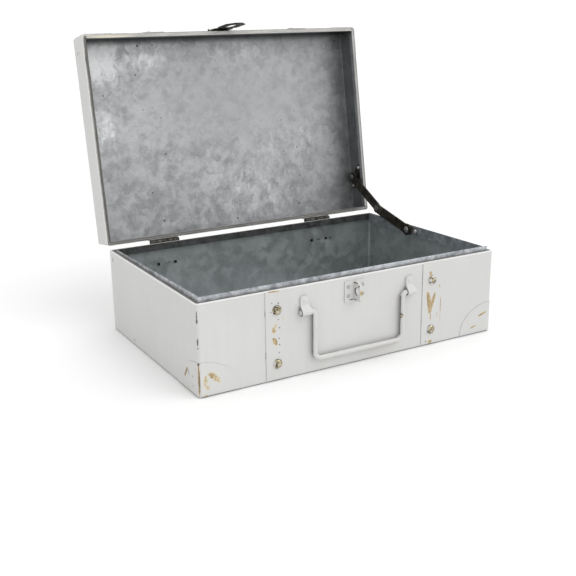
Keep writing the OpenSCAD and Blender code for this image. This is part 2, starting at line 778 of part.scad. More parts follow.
// Leaf lying on the back wall, hanging from the knuckles of one parity; local y runs away from the pin
module hinge_leaf(x, first) {
    half = hinge_w / 2;
    pitch = knuckle_len + end_play;
    bore_r = hinge_pin_d / 2 + pin_clear;
    out = hinge_r + move_gap;
    translate([x, hinge_y, hinge_z]) rotate([0, 0, 180]) {
        difference() {
            translate([-half, 0, 0]) rotate([90, 0, 0]) translate([0, 0, -out]) linear_extrude(hinge_t) {
                square([hinge_w, hinge_leaf_h]);
            }
            for (i = [0 : knuckle_count - 1])
                if (i % 2 != first)
                    translate([-half + i * pitch - end_play, 0, 0]) rotate([0, 90, 0])
                        cylinder(r = hinge_r + move_gap, h = knuckle_len + 2 * end_play);
            translate([-half - cut, 0, 0]) rotate([0, 90, 0]) cylinder(r = bore_r, h = hinge_w + 2 * cut);
        }
        for (i = [0 : knuckle_count - 1])
            if (i % 2 == first)
                rolled_knuckle(-half + i * pitch, -half + i * pitch + knuckle_len, hinge_r, bore_r);
    }
}

module hinge_case_leaf(x) {
    color(paint) difference() {
        translate([0, 0, 2 * hinge_z]) mirror([0, 0, 1]) hinge_leaf(x, 0);
        at_hinge_rivets(hinge_z - hinge_rivet_drop) translate([0, 0, hinge_t]) shank_hole(hinge_t);
    }
}

module hinge_lid_leaf(x) {
    color(paint) open_lid() difference() {
        hinge_leaf(x, 1);
        at_hinge_rivets(hinge_z + hinge_rivet_drop) translate([0, 0, hinge_t]) shank_hole(hinge_t);
    }
}

module hinge_case_leaf_left() {
    hinge_case_leaf(hinge_shift - hinge_x);
}

module hinge_case_leaf_right() {
    hinge_case_leaf(hinge_shift + hinge_x);
}

module hinge_lid_leaf_left() {
    hinge_lid_leaf(hinge_shift - hinge_x);
}

module hinge_lid_leaf_right() {
    hinge_lid_leaf(hinge_shift + hinge_x);
}

module hinge_pin(x) {
    color(zinc) translate([x - hinge_w / 2, hinge_y, hinge_z]) rotate([0, 90, 0])
        cylinder(d = hinge_pin_d, h = hinge_w);
}

module hinge_pin_left() {
    hinge_pin(hinge_shift - hinge_x);
}

module hinge_pin_right() {
    hinge_pin(hinge_shift + hinge_x);
}

module hinge_case_rivets() {
    color(zinc) at_hinge_rivets(hinge_z - hinge_rivet_drop) translate([0, 0, hinge_t])
        rivet(hinge_t + sheet_t);
}

module hinge_lid_rivets() {
    color(zinc) open_lid() at_hinge_rivets(hinge_z + hinge_rivet_drop) translate([0, 0, hinge_t])
        rivet(hinge_t + sheet_t);
}

// ---- Lid ----

module lid_shell() {
    color(paint) open_lid() difference() {
        union() {
            difference() {
                translate([0, 0, lid_z]) folded_box(case_w, case_d, lid_h, corner_r, rim_r, fold_r);
                translate([0, 0, lid_z + sheet_t])
                    folded_box(case_w - 2 * sheet_t, case_d - 2 * sheet_t, lid_h - 2 * sheet_t,
                        corner_r - sheet_t, 0.05, fold_r - sheet_t);
                translate([0, 0, lid_z - cut]) linear_extrude(sheet_t + 2 * cut)
                    square([case_w - 2 * lid_hem_w, case_d - 2 * lid_hem_w], center = true);
            }
            translate([0, 0, lid_z + rim_r])
                sheet_frame(case_w - 2 * (lid_hem_w - sheet_t), case_d - 2 * (lid_hem_w - sheet_t), sheet_t,
                    hem_return_h - rim_r);
        }
        at_lid_front_nails() shank_hole(sheet_t);
        at_lid_top_nails() shank_hole(sheet_t);
        at_hasp_leaf_rivets() shank_hole(sheet_t);
        at_hinge_rivets(hinge_z + hinge_rivet_drop) shank_hole(sheet_t);
        at_stay_lid_rivets() shank_hole(sheet_t);
    }
}

// ---- Lid stay ----

// Fixing plate with a round middle for the pivot and a smaller round end at each rivet
module stay_plate() {
    linear_extrude(stay_plate_t) for (s = [-1, 1]) hull() {
        circle(stay_plate_mid_r);
        translate([s * stay_rivet_gap / 2, 0]) circle(stay_plate_end_r);
    }
}

module stay_case_plate() {
    color(bronze) difference() {
        across(collar_x - collar_t, stay_case_pivot) mirror([0, 0, 1]) stay_plate();
        at_stay_case_rivets() translate([0, 0, stay_plate_t]) shank_hole(stay_plate_t);
        across(collar_x - collar_t, stay_case_pivot)
            cylinder(r = pivot_d / 2 + shank_clear, h = 4 * stay_plate_t, center = true);
    }
}

module stay_case_rivets() {
    color(zinc) at_stay_case_rivets() translate([0, 0, stay_plate_t])
        rivet(stay_plate_t + collar_t + sheet_t, rivet_head_d, rivet_head_h);
}

// Pin of the lower arm: through the plate, a shoulder behind the arm and a domed head before it
module stay_case_pivot_pin() {
    plate_face = collar_x - collar_t - stay_plate_t;
    color(bronze) {
        across(lower_arm_x - end_play, stay_case_pivot)
            cylinder(d = pivot_d, h = collar_x - collar_t - lower_arm_x + end_play);
        across(lower_arm_x + arm_t + end_play, stay_case_pivot)
            cylinder(d = spacer_d, h = plate_face - lower_arm_x - arm_t - end_play);
        across(lower_arm_x - end_play, stay_case_pivot) mirror([0, 0, 1]) dome(pivot_head_d, pivot_head_h);
    }
}

module stay_lid_plate() {
    color(bronze) open_lid() difference() {
        across(side_x - sheet_t, stay_lid_shut)
            rotate([0, 0, stay_plate_slope]) mirror([0, 0, 1]) stay_plate();
        at_stay_lid_rivets() translate([0, 0, stay_plate_t]) shank_hole(stay_plate_t);
        across(side_x - sheet_t, stay_lid_shut)
            cylinder(r = pivot_d / 2 + shank_clear, h = 4 * stay_plate_t, center = true);
    }
}

module stay_lid_rivets() {
    color(zinc) open_lid() at_stay_lid_rivets() translate([0, 0, stay_plate_t])
        rivet(stay_plate_t + sheet_t, rivet_head_d, rivet_head_h);
}

// Pin of the upper arm: a long shoulder brings the arm in past the lid's hem
module stay_lid_pivot_pin() {
    plate_face = side_x - sheet_t - stay_plate_t;
    color(bronze) open_lid() {
        across(upper_arm_x - end_play, stay_lid_shut)
            cylinder(d = pivot_d, h = side_x - sheet_t - upper_arm_x + end_play);
        across(upper_arm_x + arm_t + end_play, stay_lid_shut)
            cylinder(d = spacer_d, h = plate_face - upper_arm_x - arm_t - end_play);
        across(upper_arm_x - end_play, stay_lid_shut) mirror([0, 0, 1]) dome(pivot_head_d, pivot_head_h);
    }
}

// Flat bar between two pivots, both ends round and bored; end_r is the radius of the first end
module stay_arm(x, from, to, bore_from, bore_to, end_r) {
    bar = to - from;
    color(bronze) across(x, from) rotate([0, 0, atan2(bar[1], bar[0])]) difference() {
        union() {
            cylinder(r = end_r, h = arm_t);
            translate([norm(bar), 0, 0]) cylinder(r = arm_r, h = arm_t);
            translate([0, -arm_r, 0]) cube([norm(bar), arm_w, arm_t]);
        }
        translate([0, 0, -cut]) cylinder(r = bore_from, h = arm_t + 2 * cut);
        translate([norm(bar), 0, -cut]) cylinder(r = bore_to, h = arm_t + 2 * cut);
    }
}

module stay_lower_arm() {
    stay_arm(lower_arm_x, stay_case_pivot, stay_mid_pivot,
        pivot_d / 2 + pin_clear, pivot_d / 2 + shank_clear, arm_eye_d / 2);
}

module stay_upper_arm() {
    stay_arm(upper_arm_x, stay_mid_pivot, stay_lid_pivot,
        pivot_d / 2 + shank_clear, pivot_d / 2 + pin_clear, arm_r);
}

// The middle rivet's head and shank, carried by the lower arm
module stay_middle_rivet() {
    color(bronze) {
        across(lower_arm_x, stay_mid_pivot) cylinder(d = pivot_d, h = arm_t);
        across(lower_arm_x, stay_mid_pivot) mirror([0, 0, 1]) dome(pivot_head_d, pivot_head_h);
    }
}

// The middle rivet's far end, closed flush in the upper arm
module stay_middle_rivet_end() {
    color(bronze) across(upper_arm_x, stay_mid_pivot) cylinder(d = pivot_d, h = arm_t);
}

case_walls();
case_floor();
collar_front();
collar_back();
collar_left();
collar_right();
case_strap_left();
case_strap_right();
case_strap_nails();
case_corner_left();
case_corner_right();
handle_ear_left();
handle_ear_right();
handle_ear_rivets();
handle_bail();
staple_plate();
staple_loop();
staple_rivets();
hinge_case_leaf_left();
hinge_case_leaf_right();
hinge_pin_left();
hinge_pin_right();
hinge_case_rivets();
stay_case_plate();
stay_case_rivets();
stay_case_pivot_pin();
lid_shell();
lid_strap_left();
lid_strap_right();
lid_strap_nails();
lid_corner_left();
lid_corner_right();
hinge_lid_leaf_left();
hinge_lid_leaf_right();
hinge_lid_rivets();
hasp_leaf();
hasp_leaf_rivets();
hasp_pin();
hasp_blade();
stay_lid_plate();
stay_lid_rivets();
stay_lid_pivot_pin();
stay_lower_arm();
stay_upper_arm();
stay_middle_rivet();
stay_middle_rivet_end();
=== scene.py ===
"""Small tin trunk, worn off-white outside and galvanised inside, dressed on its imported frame."""
import math

import bpy
import numpy as np
from mathutils import Matrix, Vector


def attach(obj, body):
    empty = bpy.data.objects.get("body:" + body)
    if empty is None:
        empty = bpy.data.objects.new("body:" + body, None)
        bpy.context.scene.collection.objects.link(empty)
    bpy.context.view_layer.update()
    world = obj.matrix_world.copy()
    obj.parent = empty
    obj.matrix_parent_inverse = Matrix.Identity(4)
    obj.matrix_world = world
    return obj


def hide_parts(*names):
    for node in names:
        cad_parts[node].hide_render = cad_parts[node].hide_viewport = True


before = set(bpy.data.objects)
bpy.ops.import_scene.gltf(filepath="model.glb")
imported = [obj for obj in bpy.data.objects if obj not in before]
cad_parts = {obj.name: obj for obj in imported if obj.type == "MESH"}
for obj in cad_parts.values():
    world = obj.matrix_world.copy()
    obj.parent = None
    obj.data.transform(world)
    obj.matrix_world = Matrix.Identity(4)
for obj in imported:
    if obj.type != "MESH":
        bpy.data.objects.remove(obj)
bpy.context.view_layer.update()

# ---- Case walls and floor ----
# One strip of tin is folded round the case, with its top edge turned in as a hem and its
# base edge turned in over a flat floor sheet. Outside it is painted off-white by brush and
# then rubbed through at the folds. Inside, and along the hem, it is bare spangled zinc.

CASE_HALF_WIDTH = 0.178
CASE_HALF_DEPTH = 0.116
CASE_HEIGHT = 0.093
SHEET = 0.0007
SHEET_SKIN = 0.00055
BACK_INSIDE = CASE_HALF_DEPTH - SHEET
CORNER_BEND = 0.0035

PAINT_LIGHT = (0.612, 0.611, 0.600, 1)
PAINT_FOLD_HIGHLIGHT = (0.76, 0.76, 0.75, 1)
PAINT_SHADE = (0.565, 0.564, 0.553, 1)
PAINT_THIN = (0.62, 0.545, 0.335, 1)
BRASSY_DARK = (0.32, 0.235, 0.125, 1)
BRASSY_LIGHT = (0.54, 0.425, 0.265, 1)
DIRT_AND_SHADE = (0.105, 0.095, 0.078, 1)
CHIP_AND_SHADE_DARK = (0.035, 0.032, 0.028, 1)
WHITE_RUST_AND_SHEEN = (0.74, 0.75, 0.755, 1)
HEM_SHEEN = (0.75, 0.74, 0.71, 1)
HEM_CREAM = (0.74, 0.68, 0.52, 1)
STREAKS_ACROSS = 1500.0
STREAKS_ALONG = 34.0

FOLD_WEAR = 0.62
BEND_WEAR = 0.72
THIN_AT = (0.34, 0.62)
BARE_AT = (0.58, 0.72)
DEEP_AT = (1.05, 1.20)
CHIPPED_AT = (0.50, 0.66)
CASE_RUB = 0.0016
FOLD_HIGHLIGHT_WANDER = 0.0012
FOLD_HIGHLIGHT_AT = (0.0012, 0.0020)


class Finish:
    """One node material, built call by call; each call adds a node and gives back its output."""

    def __init__(self, name):
        self.material = bpy.data.materials.new(name)
        self.material.use_nodes = True
        self.tree = self.material.node_tree
        self.tree.nodes.clear()
        self.object_place = self.add("ShaderNodeTexCoord", out="Object")

    def add(self, kind, out=0, settings=None, inputs=None):
        """Adds a node, sets its settings and inputs, and gives back one of its outputs."""
        made = self.tree.nodes.new(kind)
        for key, value in (settings or {}).items():
            setattr(made, key, value)
        for key, value in (inputs or {}).items():
            socket = made.inputs[key]
            if isinstance(value, bpy.types.NodeSocket):
                self.tree.links.new(value, socket)
            else:
                socket.default_value = value
        return made.outputs[out]

    def math(self, operation, a, b=0.0, c=0.0):
        """One arithmetic step on up to three numbers."""
        return self.add("ShaderNodeMath", 0, {"operation": operation}, {0: a, 1: b, 2: c})

    def times(self, a, b):
        """The product of two numbers."""
        return self.math("MULTIPLY", a, b)

    def off(self, value, middle):
        """How far a number is from a middle value, to either side."""
        return self.math("ABSOLUTE", self.math("SUBTRACT", value, middle))

    def length(self, a, b):
        """The length of the slope with sides a and b: the square root of a * a + b * b."""
        return self.math("SQRT", self.math("MULTIPLY_ADD", a, a, self.times(b, b)))

    def frayed(self, value, noise, share):
        """A number with a share of cloudy noise, less its average, added to it."""
        return self.math("MULTIPLY_ADD", self.math("SUBTRACT", noise, 0.5), share, value)

    def vector(self, operation, a, b=(0, 0, 0), c=(0, 0, 0), out=0):
        """One arithmetic step on up to three places or directions."""
        return self.add("ShaderNodeVectorMath", out, {"operation": operation}, {0: a, 1: b, 2: c})

    def scaled(self, place, scale):
        """The place with each coordinate multiplied by its own scale."""
        return self.add("ShaderNodeMapping", inputs={"Vector": place, "Scale": scale})

    def noise(self, place, scale, detail=3.0, roughness=0.55, distortion=0.0, out=0):
        """Cloudy noise, about 0.5 on average; scale is how many clouds lie along a metre."""
        return self.add("ShaderNodeTexNoise", out=out, inputs={
            "Vector": place, "Scale": scale, "Detail": detail,
            "Roughness": roughness, "Distortion": distortion})

    def cells(self, place, scale, feature="F1", out="Distance"):
        """Cells round scattered points: the distance to the nearest point, or its cell's colour."""
        soft = {"Smoothness": 0.45} if feature == "SMOOTH_F1" else {}
        return self.add("ShaderNodeTexVoronoi", out=out, settings={"feature": feature}, inputs={
            "Vector": place, "Scale": scale, **soft})

    def ease(self, value, low, high, to_low=0.0, to_high=1.0):
        """Carries a value from low..high to to_low..to_high with eased ends, held flat outside."""
        return self.add("ShaderNodeMapRange", settings={"interpolation_type": "SMOOTHSTEP"}, inputs={
            "Value": value, "From Min": low, "From Max": high, "To Min": to_low, "To Max": to_high})

    def blend(self, amount, a, b, kind="RGBA"):
        """Two colours, numbers or directions mixed by an amount."""
        made = self.tree.nodes.new("ShaderNodeMix")
        made.data_type = kind
        first, output = {"FLOAT": (2, 0), "VECTOR": (4, 1), "RGBA": (6, 2)}[kind]
        for index, value in ((0, amount), (first, a), (first + 1, b)):
            if isinstance(value, bpy.types.NodeSocket):
                self.tree.links.new(value, made.inputs[index])
            else:
                made.inputs[index].default_value = value
        return made.outputs[output]

    def parts(self, place):
        """The three coordinates of a place."""
        made = self.tree.nodes.new("ShaderNodeSeparateXYZ")
        self.tree.links.new(place, made.inputs[0])
        return made.outputs[0], made.outputs[1], made.outputs[2]

    def joined(self, x, y, z):
        """A place from its three coordinates."""
        return self.add("ShaderNodeCombineXYZ", inputs={0: x, 1: y, 2: z})

    def largest(self, values):
        """The largest of several numbers."""
        top = values[0]
        for value in values[1:]:
            top = self.math("MAXIMUM", top, value)
        return top

    def spots(self, place, rows, soft=0.5):
        """The largest of several oval spots; each row is centre, half sizes, turn and weight.

        A spot is its weight inside its oval and falls to 0 over the soft share of its size. Its
        turn is about y, for a spot on the front, or a pair of turns about x and y.
        """
        made = []
        for centre, half, turn, weight in rows:
            about_x, about_y = turn if isinstance(turn, tuple) else (0.0, turn)
            local = self.add("ShaderNodeMapping", settings={"vector_type": "TEXTURE"}, inputs={
                "Vector": place, "Location": centre, "Scale": half,
                "Rotation": (about_x, -about_y, 0)})
            reach = self.vector("LENGTH", local, out="Value")
            made.append(self.ease(reach, 1.0 - soft, 1.0 + soft, weight, 0.0))
        return self.largest(made)

    def bump(self, height, strength, distance, under=None):
        """A normal that leans as the height does; distance is the height's full scale in metres."""
        inputs = {"Height": height, "Strength": strength, "Distance": distance}
        if under is not None:
            inputs["Normal"] = under
        return self.add("ShaderNodeBump", inputs=inputs)

    def crevice(self, reach):
        """1 in corners and beside raised edges, 0 on open faces; reach is how far off it looks."""
        open_share = self.add("ShaderNodeAmbientOcclusion", out="AO", settings={"samples": 6},
                              inputs={"Distance": reach})
        return self.math("SUBTRACT", 1.0, open_share)

    def surface(self, look):
        """Ends the material in one Principled shader."""
        shader = self.tree.nodes.new("ShaderNodeBsdfPrincipled")
        for key, value in look.items():
            socket = shader.inputs[key.replace("_", " ")]
            if isinstance(value, bpy.types.NodeSocket):
                self.tree.links.new(value, socket)
            else:
                socket.default_value = value
        end = self.tree.nodes.new("ShaderNodeOutputMaterial")
        self.tree.links.new(shader.outputs[0], end.inputs[0])
        return self.material


def dress(material, *nodes):
    """Gives CAD nodes a material."""
    for name in nodes:
        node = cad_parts[name]
        if not node.material_slots:
            node.data.materials.append(material)
        for slot in node.material_slots:
            slot.material = material


def shown_by(finish, amount, first, second):
    """Two looks mixed by an amount, value by value."""
    return {"Base_Color": finish.blend(amount, first["Base_Color"], second["Base_Color"]),
            "Roughness": finish.blend(amount, first["Roughness"], second["Roughness"], "FLOAT"),
            "Metallic": finish.blend(amount, first["Metallic"], second["Metallic"], "FLOAT"),
            "Normal": finish.blend(amount, first["Normal"], second["Normal"], "VECTOR")}


def tray_depths(finish, place, centre, half):
    """How far a place lies inside a tray's walls, inside its top or bottom face, and into a bend.

    The walls are a rectangle with round corners: outside the straight stretches, the depth is the
    bend's radius less the distance from the bend's centre.
    """
    local = finish.vector("SUBTRACT", place, centre)
    x, y, z = [finish.math("ABSOLUTE", value) for value in finish.parts(local)]
    past_x = finish.math("SUBTRACT", x, half[0] - CORNER_BEND)
    past_y = finish.math("SUBTRACT", y, half[1] - CORNER_BEND)
    bent_x = finish.math("MAXIMUM", past_x, 0.0)
    bent_y = finish.math("MAXIMUM", past_y, 0.0)
    reach = finish.length(bent_x, bent_y)
    straight = finish.math("MINIMUM", finish.math("MAXIMUM", past_x, past_y), 0.0)
    across = finish.math("SUBTRACT", CORNER_BEND, finish.math("ADD", reach, straight))
    below = finish.math("SUBTRACT", half[2], z)
    return across, below, finish.math("MINIMUM", past_x, past_y)


def edge_rub(finish, depths, width):
    """Wear along a tray's edges, strongest on its folds and in its corners' bends."""
    across, below, into_bend = depths
    on_fold = finish.ease(finish.length(across, below), 0.0, width, FOLD_WEAR, 0.0)
    return finish.math("MAXIMUM", on_fold, finish.ease(into_bend, 0.0008, 0.0022, 0.0, BEND_WEAR))


def brushed_paint(finish, place, rub, bare_marks, dark_marks, flecks):
    """Off-white paint with brush drag, rubbed through to brassy tin, chipped, and darkened
    in corners by painted shade and soiling.

    rub, bare_marks and dark_marks are 0..1. Ragged noise is added to each. As the sum of the first
    two passes THIN_AT, BARE_AT and DEEP_AT, the paint is thin, then gone, then dirty metal, and the
    third chips it dark at CHIPPED_AT. flecks is how dark its scattered specks are.
    """
    drag = finish.noise(finish.scaled(place, (230, 230, 16)), 1.0, 4.0, 0.6)
    cloud = finish.noise(place, 8.0, 3.0, 0.5)
    mottle = finish.noise(place, 70.0, 4.0, 0.6)
    tone = finish.blend(finish.ease(cloud, 0.32, 0.70, 0.0, 0.6), PAINT_LIGHT, PAINT_SHADE)
    tone = finish.blend(finish.ease(drag, 0.30, 0.75, 0.0, 0.30), tone, PAINT_SHADE)
    tone = finish.blend(finish.ease(mottle, 0.50, 0.75, 0.0, 0.30), tone, PAINT_SHADE)
    ragged = finish.noise(finish.scaled(place, (620, 620, 330)), 1.0, 5.0, 0.70)
    gate = finish.ease(finish.noise(place, 42.0, 3.0, 0.55), 0.46, 0.64)
    worn = finish.math("MULTIPLY_ADD", rub, gate, bare_marks)
    worn = finish.frayed(worn, ragged, 1.05)
    thin = finish.ease(worn, *THIN_AT)
    bare = finish.ease(worn, *BARE_AT)
    deep = finish.ease(worn, *DEEP_AT)
    blotch = finish.noise(place, 380.0, 4.0, 0.65)
    brassy = finish.blend(finish.ease(blotch, 0.38, 0.62), BRASSY_DARK, BRASSY_LIGHT)
    colour = finish.blend(finish.times(thin, 0.75), tone, PAINT_THIN)
    colour = finish.blend(bare, colour, brassy)
    colour = finish.blend(finish.times(deep, 0.75), colour, DIRT_AND_SHADE)
    speck = finish.ease(finish.cells(place, 230.0), 0.10, 0.19, 1.0, 0.0)
    specked = finish.ease(finish.noise(place, 60.0, 3.0, 0.6), 0.60, 0.68, 0.0, flecks)
    chipped = finish.ease(finish.frayed(dark_marks, ragged, 0.9), *CHIPPED_AT)
    chipped = finish.math("MAXIMUM", chipped, finish.times(speck, specked))
    colour = finish.blend(finish.times(chipped, 0.85), colour, CHIP_AND_SHADE_DARK)
    # Painted shade: corners and spots beside raised edges darken towards a brown-black, patchy like
    # soiling.
    corner = finish.ease(finish.crevice(0.0016), 0.30, 0.80)
    dirty = finish.ease(finish.noise(place, 130.0, 4.0, 0.65), 0.30, 0.66, 0.15, 0.8)
    colour = finish.blend(finish.times(corner, dirty), colour, DIRT_AND_SHADE)
    height = finish.math("MULTIPLY_ADD", drag, 0.30, finish.math("SUBTRACT", 1.0, bare))
    normal = finish.bump(height, 0.35, 0.00022)
    normal = finish.bump(finish.noise(place, 26.0, 2.0, 0.4), 0.12, 0.0014, normal)
    gone = finish.times(bare, finish.math("SUBTRACT", 1.0, chipped))
    return {"Base_Color": colour, "Roughness": finish.ease(bare, 0.0, 1.0, 0.55, 0.40),
            "Metallic": finish.times(gone, 0.55), "Normal": normal}


def zinc_look(finish, place, dark, light, size=1.0, rust_and_sheen=None, pin_spots=None):
    """Spangled zinc: ragged crystals, cloudy patches, frosty white rust and dark pin-spots.
    Where it is asked for, the white rust also stands in for painted sheen; corners get painted shade.

    The place is shifted by fine noise before the cells are found, which frays the crystals' edges.
    """
    fray = finish.noise(place, 75.0 / size, 5.0, 0.68, out="Color")
    bent = finish.vector("MULTIPLY_ADD", fray, (0.019 * size,) * 3, place)
    crystal = finish.parts(finish.cells(bent, 105.0 / size, "SMOOTH_F1", "Color"))[0]
    splinter = finish.parts(finish.cells(bent, 260.0 / size, "SMOOTH_F1", "Color"))[1]
    cloud = finish.noise(place, 9.0, 4.0, 0.60)
    wisp = finish.noise(bent, 48.0 / size, 5.0, 0.70, 0.5)
    grain = finish.noise(bent, 480.0 / size, 3.0, 0.7)
    shade = finish.math("MULTIPLY_ADD", crystal, 0.20, finish.times(splinter, 0.09))
    shade = finish.math("MULTIPLY_ADD", cloud, 0.36, shade)
    shade = finish.math("MULTIPLY_ADD", wisp, 0.78, shade)
    shade = finish.math("MULTIPLY_ADD", grain, 0.18, shade)
    colour = finish.blend(finish.ease(shade, 0.52, 1.02), dark, light)
    # The pale frosty patches are white rust and, in places, painted sheen.
    if rust_and_sheen is not None:
        wisps = finish.noise(finish.scaled(bent, (110, 62, 62)), 1.0, 5.0, 0.72, 0.6)
        frost_and_sheen = finish.math("MULTIPLY_ADD", rust_and_sheen, 0.42, wisps)
        colour = finish.blend(finish.ease(frost_and_sheen, 0.62, 0.98, 0.0, 0.85), colour, WHITE_RUST_AND_SHEEN)
    if pin_spots is not None:
        ragged = finish.noise(place, 900.0, 3.0, 0.6)
        pin = finish.frayed(pin_spots, ragged, 0.9)
        colour = finish.blend(finish.ease(pin, 0.45, 0.70, 0.0, 0.85), colour, CHIP_AND_SHADE_DARK)
    pit = finish.ease(finish.cells(place, 160.0), 0.07, 0.14, 1.0, 0.0)
    pitted = finish.ease(finish.noise(place, 34.0, 2.0), 0.62, 0.68, 0.0, 0.45)
    colour = finish.blend(finish.times(pit, pitted), colour, CHIP_AND_SHADE_DARK)
    # Painted shade: corners and spots beside raised edges darken towards near-black.
    corner = finish.ease(finish.crevice(0.005), 0.40, 0.95, 0.0, 0.35)
    colour = finish.blend(corner, colour, (0.05, 0.05, 0.05, 1))
    normal = finish.bump(finish.math("MULTIPLY_ADD", crystal, 0.4, grain), 0.10, 0.0002)
    normal = finish.bump(finish.noise(place, 22.0, 2.0, 0.4), 0.12, 0.0014, normal)
    return {"Base_Color": colour, "Roughness": finish.ease(crystal, 0.0, 1.0, 0.36, 0.52),
            "Metallic": finish.ease(cloud, 0.3, 0.7, 0.62, 0.78), "Normal": normal}


def hem_look(finish, place, across, tone, tones, cream):
    """A bare turned-in hem: its own tone with other tones over it, and streaks along it.

    across is the distance from the outer wall; tones are rows of mask and colour, painted in turn,
    and cream is a mask of yellowed paint or None.
    """
    x, y, _ = finish.parts(place)
    along = finish.joined(finish.times(across, STREAKS_ACROSS),
                          finish.times(finish.math("ADD", x, y), STREAKS_ALONG), 3.0)
    streak = finish.noise(along, 1.0, 4.0, 0.65)
    colour = tone
    for mask, over in tones:
        colour = finish.blend(mask, colour, over)
    colour = finish.blend(finish.ease(streak, 0.30, 0.70), finish.blend(0.50, colour, DIRT_AND_SHADE),
                          finish.blend(0.20, colour, HEM_SHEEN))
    if cream is not None:
        colour = finish.blend(cream, colour, HEM_CREAM)
    return {"Base_Color": colour, "Roughness": finish.ease(streak, 0.3, 0.7, 0.5, 0.4),
            "Metallic": 0.35, "Normal": finish.bump(streak, 0.4, 0.0003)}


def two_sided(name, place_of, centre, half, rim_up, rim_paint, marks, bare_inside, hem_tones):
    """Paint on a tray's outer faces, a soiled hem with painted shade on its rim plane, and bare zinc
    inside.

    rim_up is 1 where the rim is the box's highest face and -1 where it is its lowest. The paint has
    a pale painted highlight beside the rim and goes on round the fold for about rim_paint.
    """
    finish = Finish(name)
    place = place_of(finish)
    depths = tray_depths(finish, place, centre, half)
    across, below, _ = depths
    above = finish.math("SUBTRACT", finish.parts(place)[2], centre[2] + rim_up * half[2])
    rim_off = finish.times(above, -rim_up)
    on_rim = finish.ease(rim_off, 0.00020, 0.00045, 1.0, 0.0)
    bare_marks, dark_marks = marks(finish, place)
    rub = edge_rub(finish, depths, CASE_RUB)
    paint = brushed_paint(finish, place, rub, bare_marks, dark_marks, 0.25)
    # Painted highlight: a pale band of paint beside the rim, where the fold catches the light.
    uneven = finish.math("MULTIPLY_ADD", finish.noise(place, 150.0, 3.0), FOLD_HIGHLIGHT_WANDER, rim_off)
    fold_highlight = finish.ease(uneven, *FOLD_HIGHLIGHT_AT, 0.85, 0.0)
    fold_highlight = finish.times(fold_highlight, finish.ease(dark_marks, 0.25, 0.55, 1.0, 0.0))
    paint["Base_Color"] = finish.blend(fold_highlight, paint["Base_Color"], PAINT_FOLD_HIGHLIGHT)
    hem = hem_look(finish, place, across, *hem_tones(finish, place, across))
    look = shown_by(finish, on_rim, bare_inside(finish, place), hem)
    ragged = finish.noise(place, 240.0, 4.0, 0.6)
    painted_to = finish.math("MULTIPLY_ADD", ragged, 0.0010, rim_paint - 0.0005)
    limit = finish.blend(on_rim, SHEET_SKIN, painted_to, "FLOAT")
    outer = finish.math("MINIMUM", across, finish.math("MAXIMUM", below, on_rim))
    inside = finish.math("GREATER_THAN", outer, limit)
    return finish.surface(shown_by(finish, inside, paint, look))


CASE_CENTRE = (0.0, 0.0, CASE_HEIGHT / 2)
CASE_HALF = (CASE_HALF_WIDTH, CASE_HALF_DEPTH, CASE_HEIGHT / 2)


def case_marks(finish, place):
    """Chips on the front left fold, knocks on the left side and painted shadow lines left of the
    straps.
    """
    dark = finish.spots(place, [
        ((-0.1770, -0.1150, 0.0810), (0.0007, 0.0007, 0.0070), 0.0, 0.72),
        ((-0.1770, -0.1150, 0.0765), (0.0010, 0.0010, 0.0026), 0.0, 0.9),
        ((-0.1770, -0.1150, 0.0560), (0.0009, 0.0009, 0.0042), 0.0, 0.85),
        ((-0.1770, -0.1150, 0.0500), (0.0008, 0.0008, 0.0010), 0.0, 0.8),
        ((-CASE_HALF_WIDTH, 0.1051, 0.0840), (0.0015, 0.0010, 0.0027), 0.0, 0.95),
        ((-CASE_HALF_WIDTH, 0.0504, 0.0065), (0.0015, 0.0012, 0.0012), 0.0, 0.85),
        # Painted shadow: thin dark lines on the wall along each strap's left edge.
        ((-0.1066, -CASE_HALF_DEPTH, 0.0710), (0.0006, 0.0020, 0.0042), 0.0, 0.70),
        ((-0.1066, -CASE_HALF_DEPTH, 0.0290), (0.0006, 0.0020, 0.0050), 0.0, 0.70),
        ((0.0815, -CASE_HALF_DEPTH, 0.0750), (0.0006, 0.0020, 0.0100), 0.0, 0.62),
        ((0.0815, -CASE_HALF_DEPTH, 0.0280), (0.0006, 0.0020, 0.0060), 0.0, 0.62)])
    bare = finish.spots(place, [
        ((-0.1712, -CASE_HALF_DEPTH, 0.0020), (0.0030, 0.0020, 0.0013), 0.0, 0.70),
        ((0.0940, -CASE_HALF_DEPTH, 0.0020), (0.0030, 0.0020, 0.0013), 0.0, 0.70)])
    return bare, dark


def case_inside(finish, place):
    """Dull dark zinc, smudged where the hinges' rivets come through the back wall."""
    smudges = finish.spots(place, [
        ((0.0983, BACK_INSIDE, 0.0677), (0.0045, 0.0020, 0.0012), 0.1, 0.62),
        ((0.1162, BACK_INSIDE, 0.0676), (0.0014, 0.0020, 0.0014), 0.0, 0.9),
        ((-0.1070, BACK_INSIDE, 0.0686), (0.0012, 0.0020, 0.0012), 0.0, 0.7)])
    return zinc_look(finish, place, (0.310, 0.333, 0.337, 1), (0.460, 0.490, 0.495, 1),
                     pin_spots=smudges)


def case_hem_tones(finish, place, across):
    """Dark, darker along the back as painted shade, with a paler middle along the back."""
    back = finish.ease(finish.parts(place)[1], 0.110, 0.1105)
    middle = finish.ease(finish.off(across, 0.0028), 0.0003, 0.0009, 1.0, 0.0)
    # Painted shade: the back run is darkened further.
    return (0.080, 0.080, 0.078, 1), [
        (back, (0.045, 0.043, 0.040, 1)),
        (finish.times(back, middle), (0.20, 0.19, 0.18, 1))], None


def as_it_stands(finish):
    """A case piece's own place."""
    return finish.object_place


dress(two_sided("case_paint", as_it_stands, CASE_CENTRE, CASE_HALF, 1, 0.0017,
                case_marks, case_inside, case_hem_tones), "case_walls")


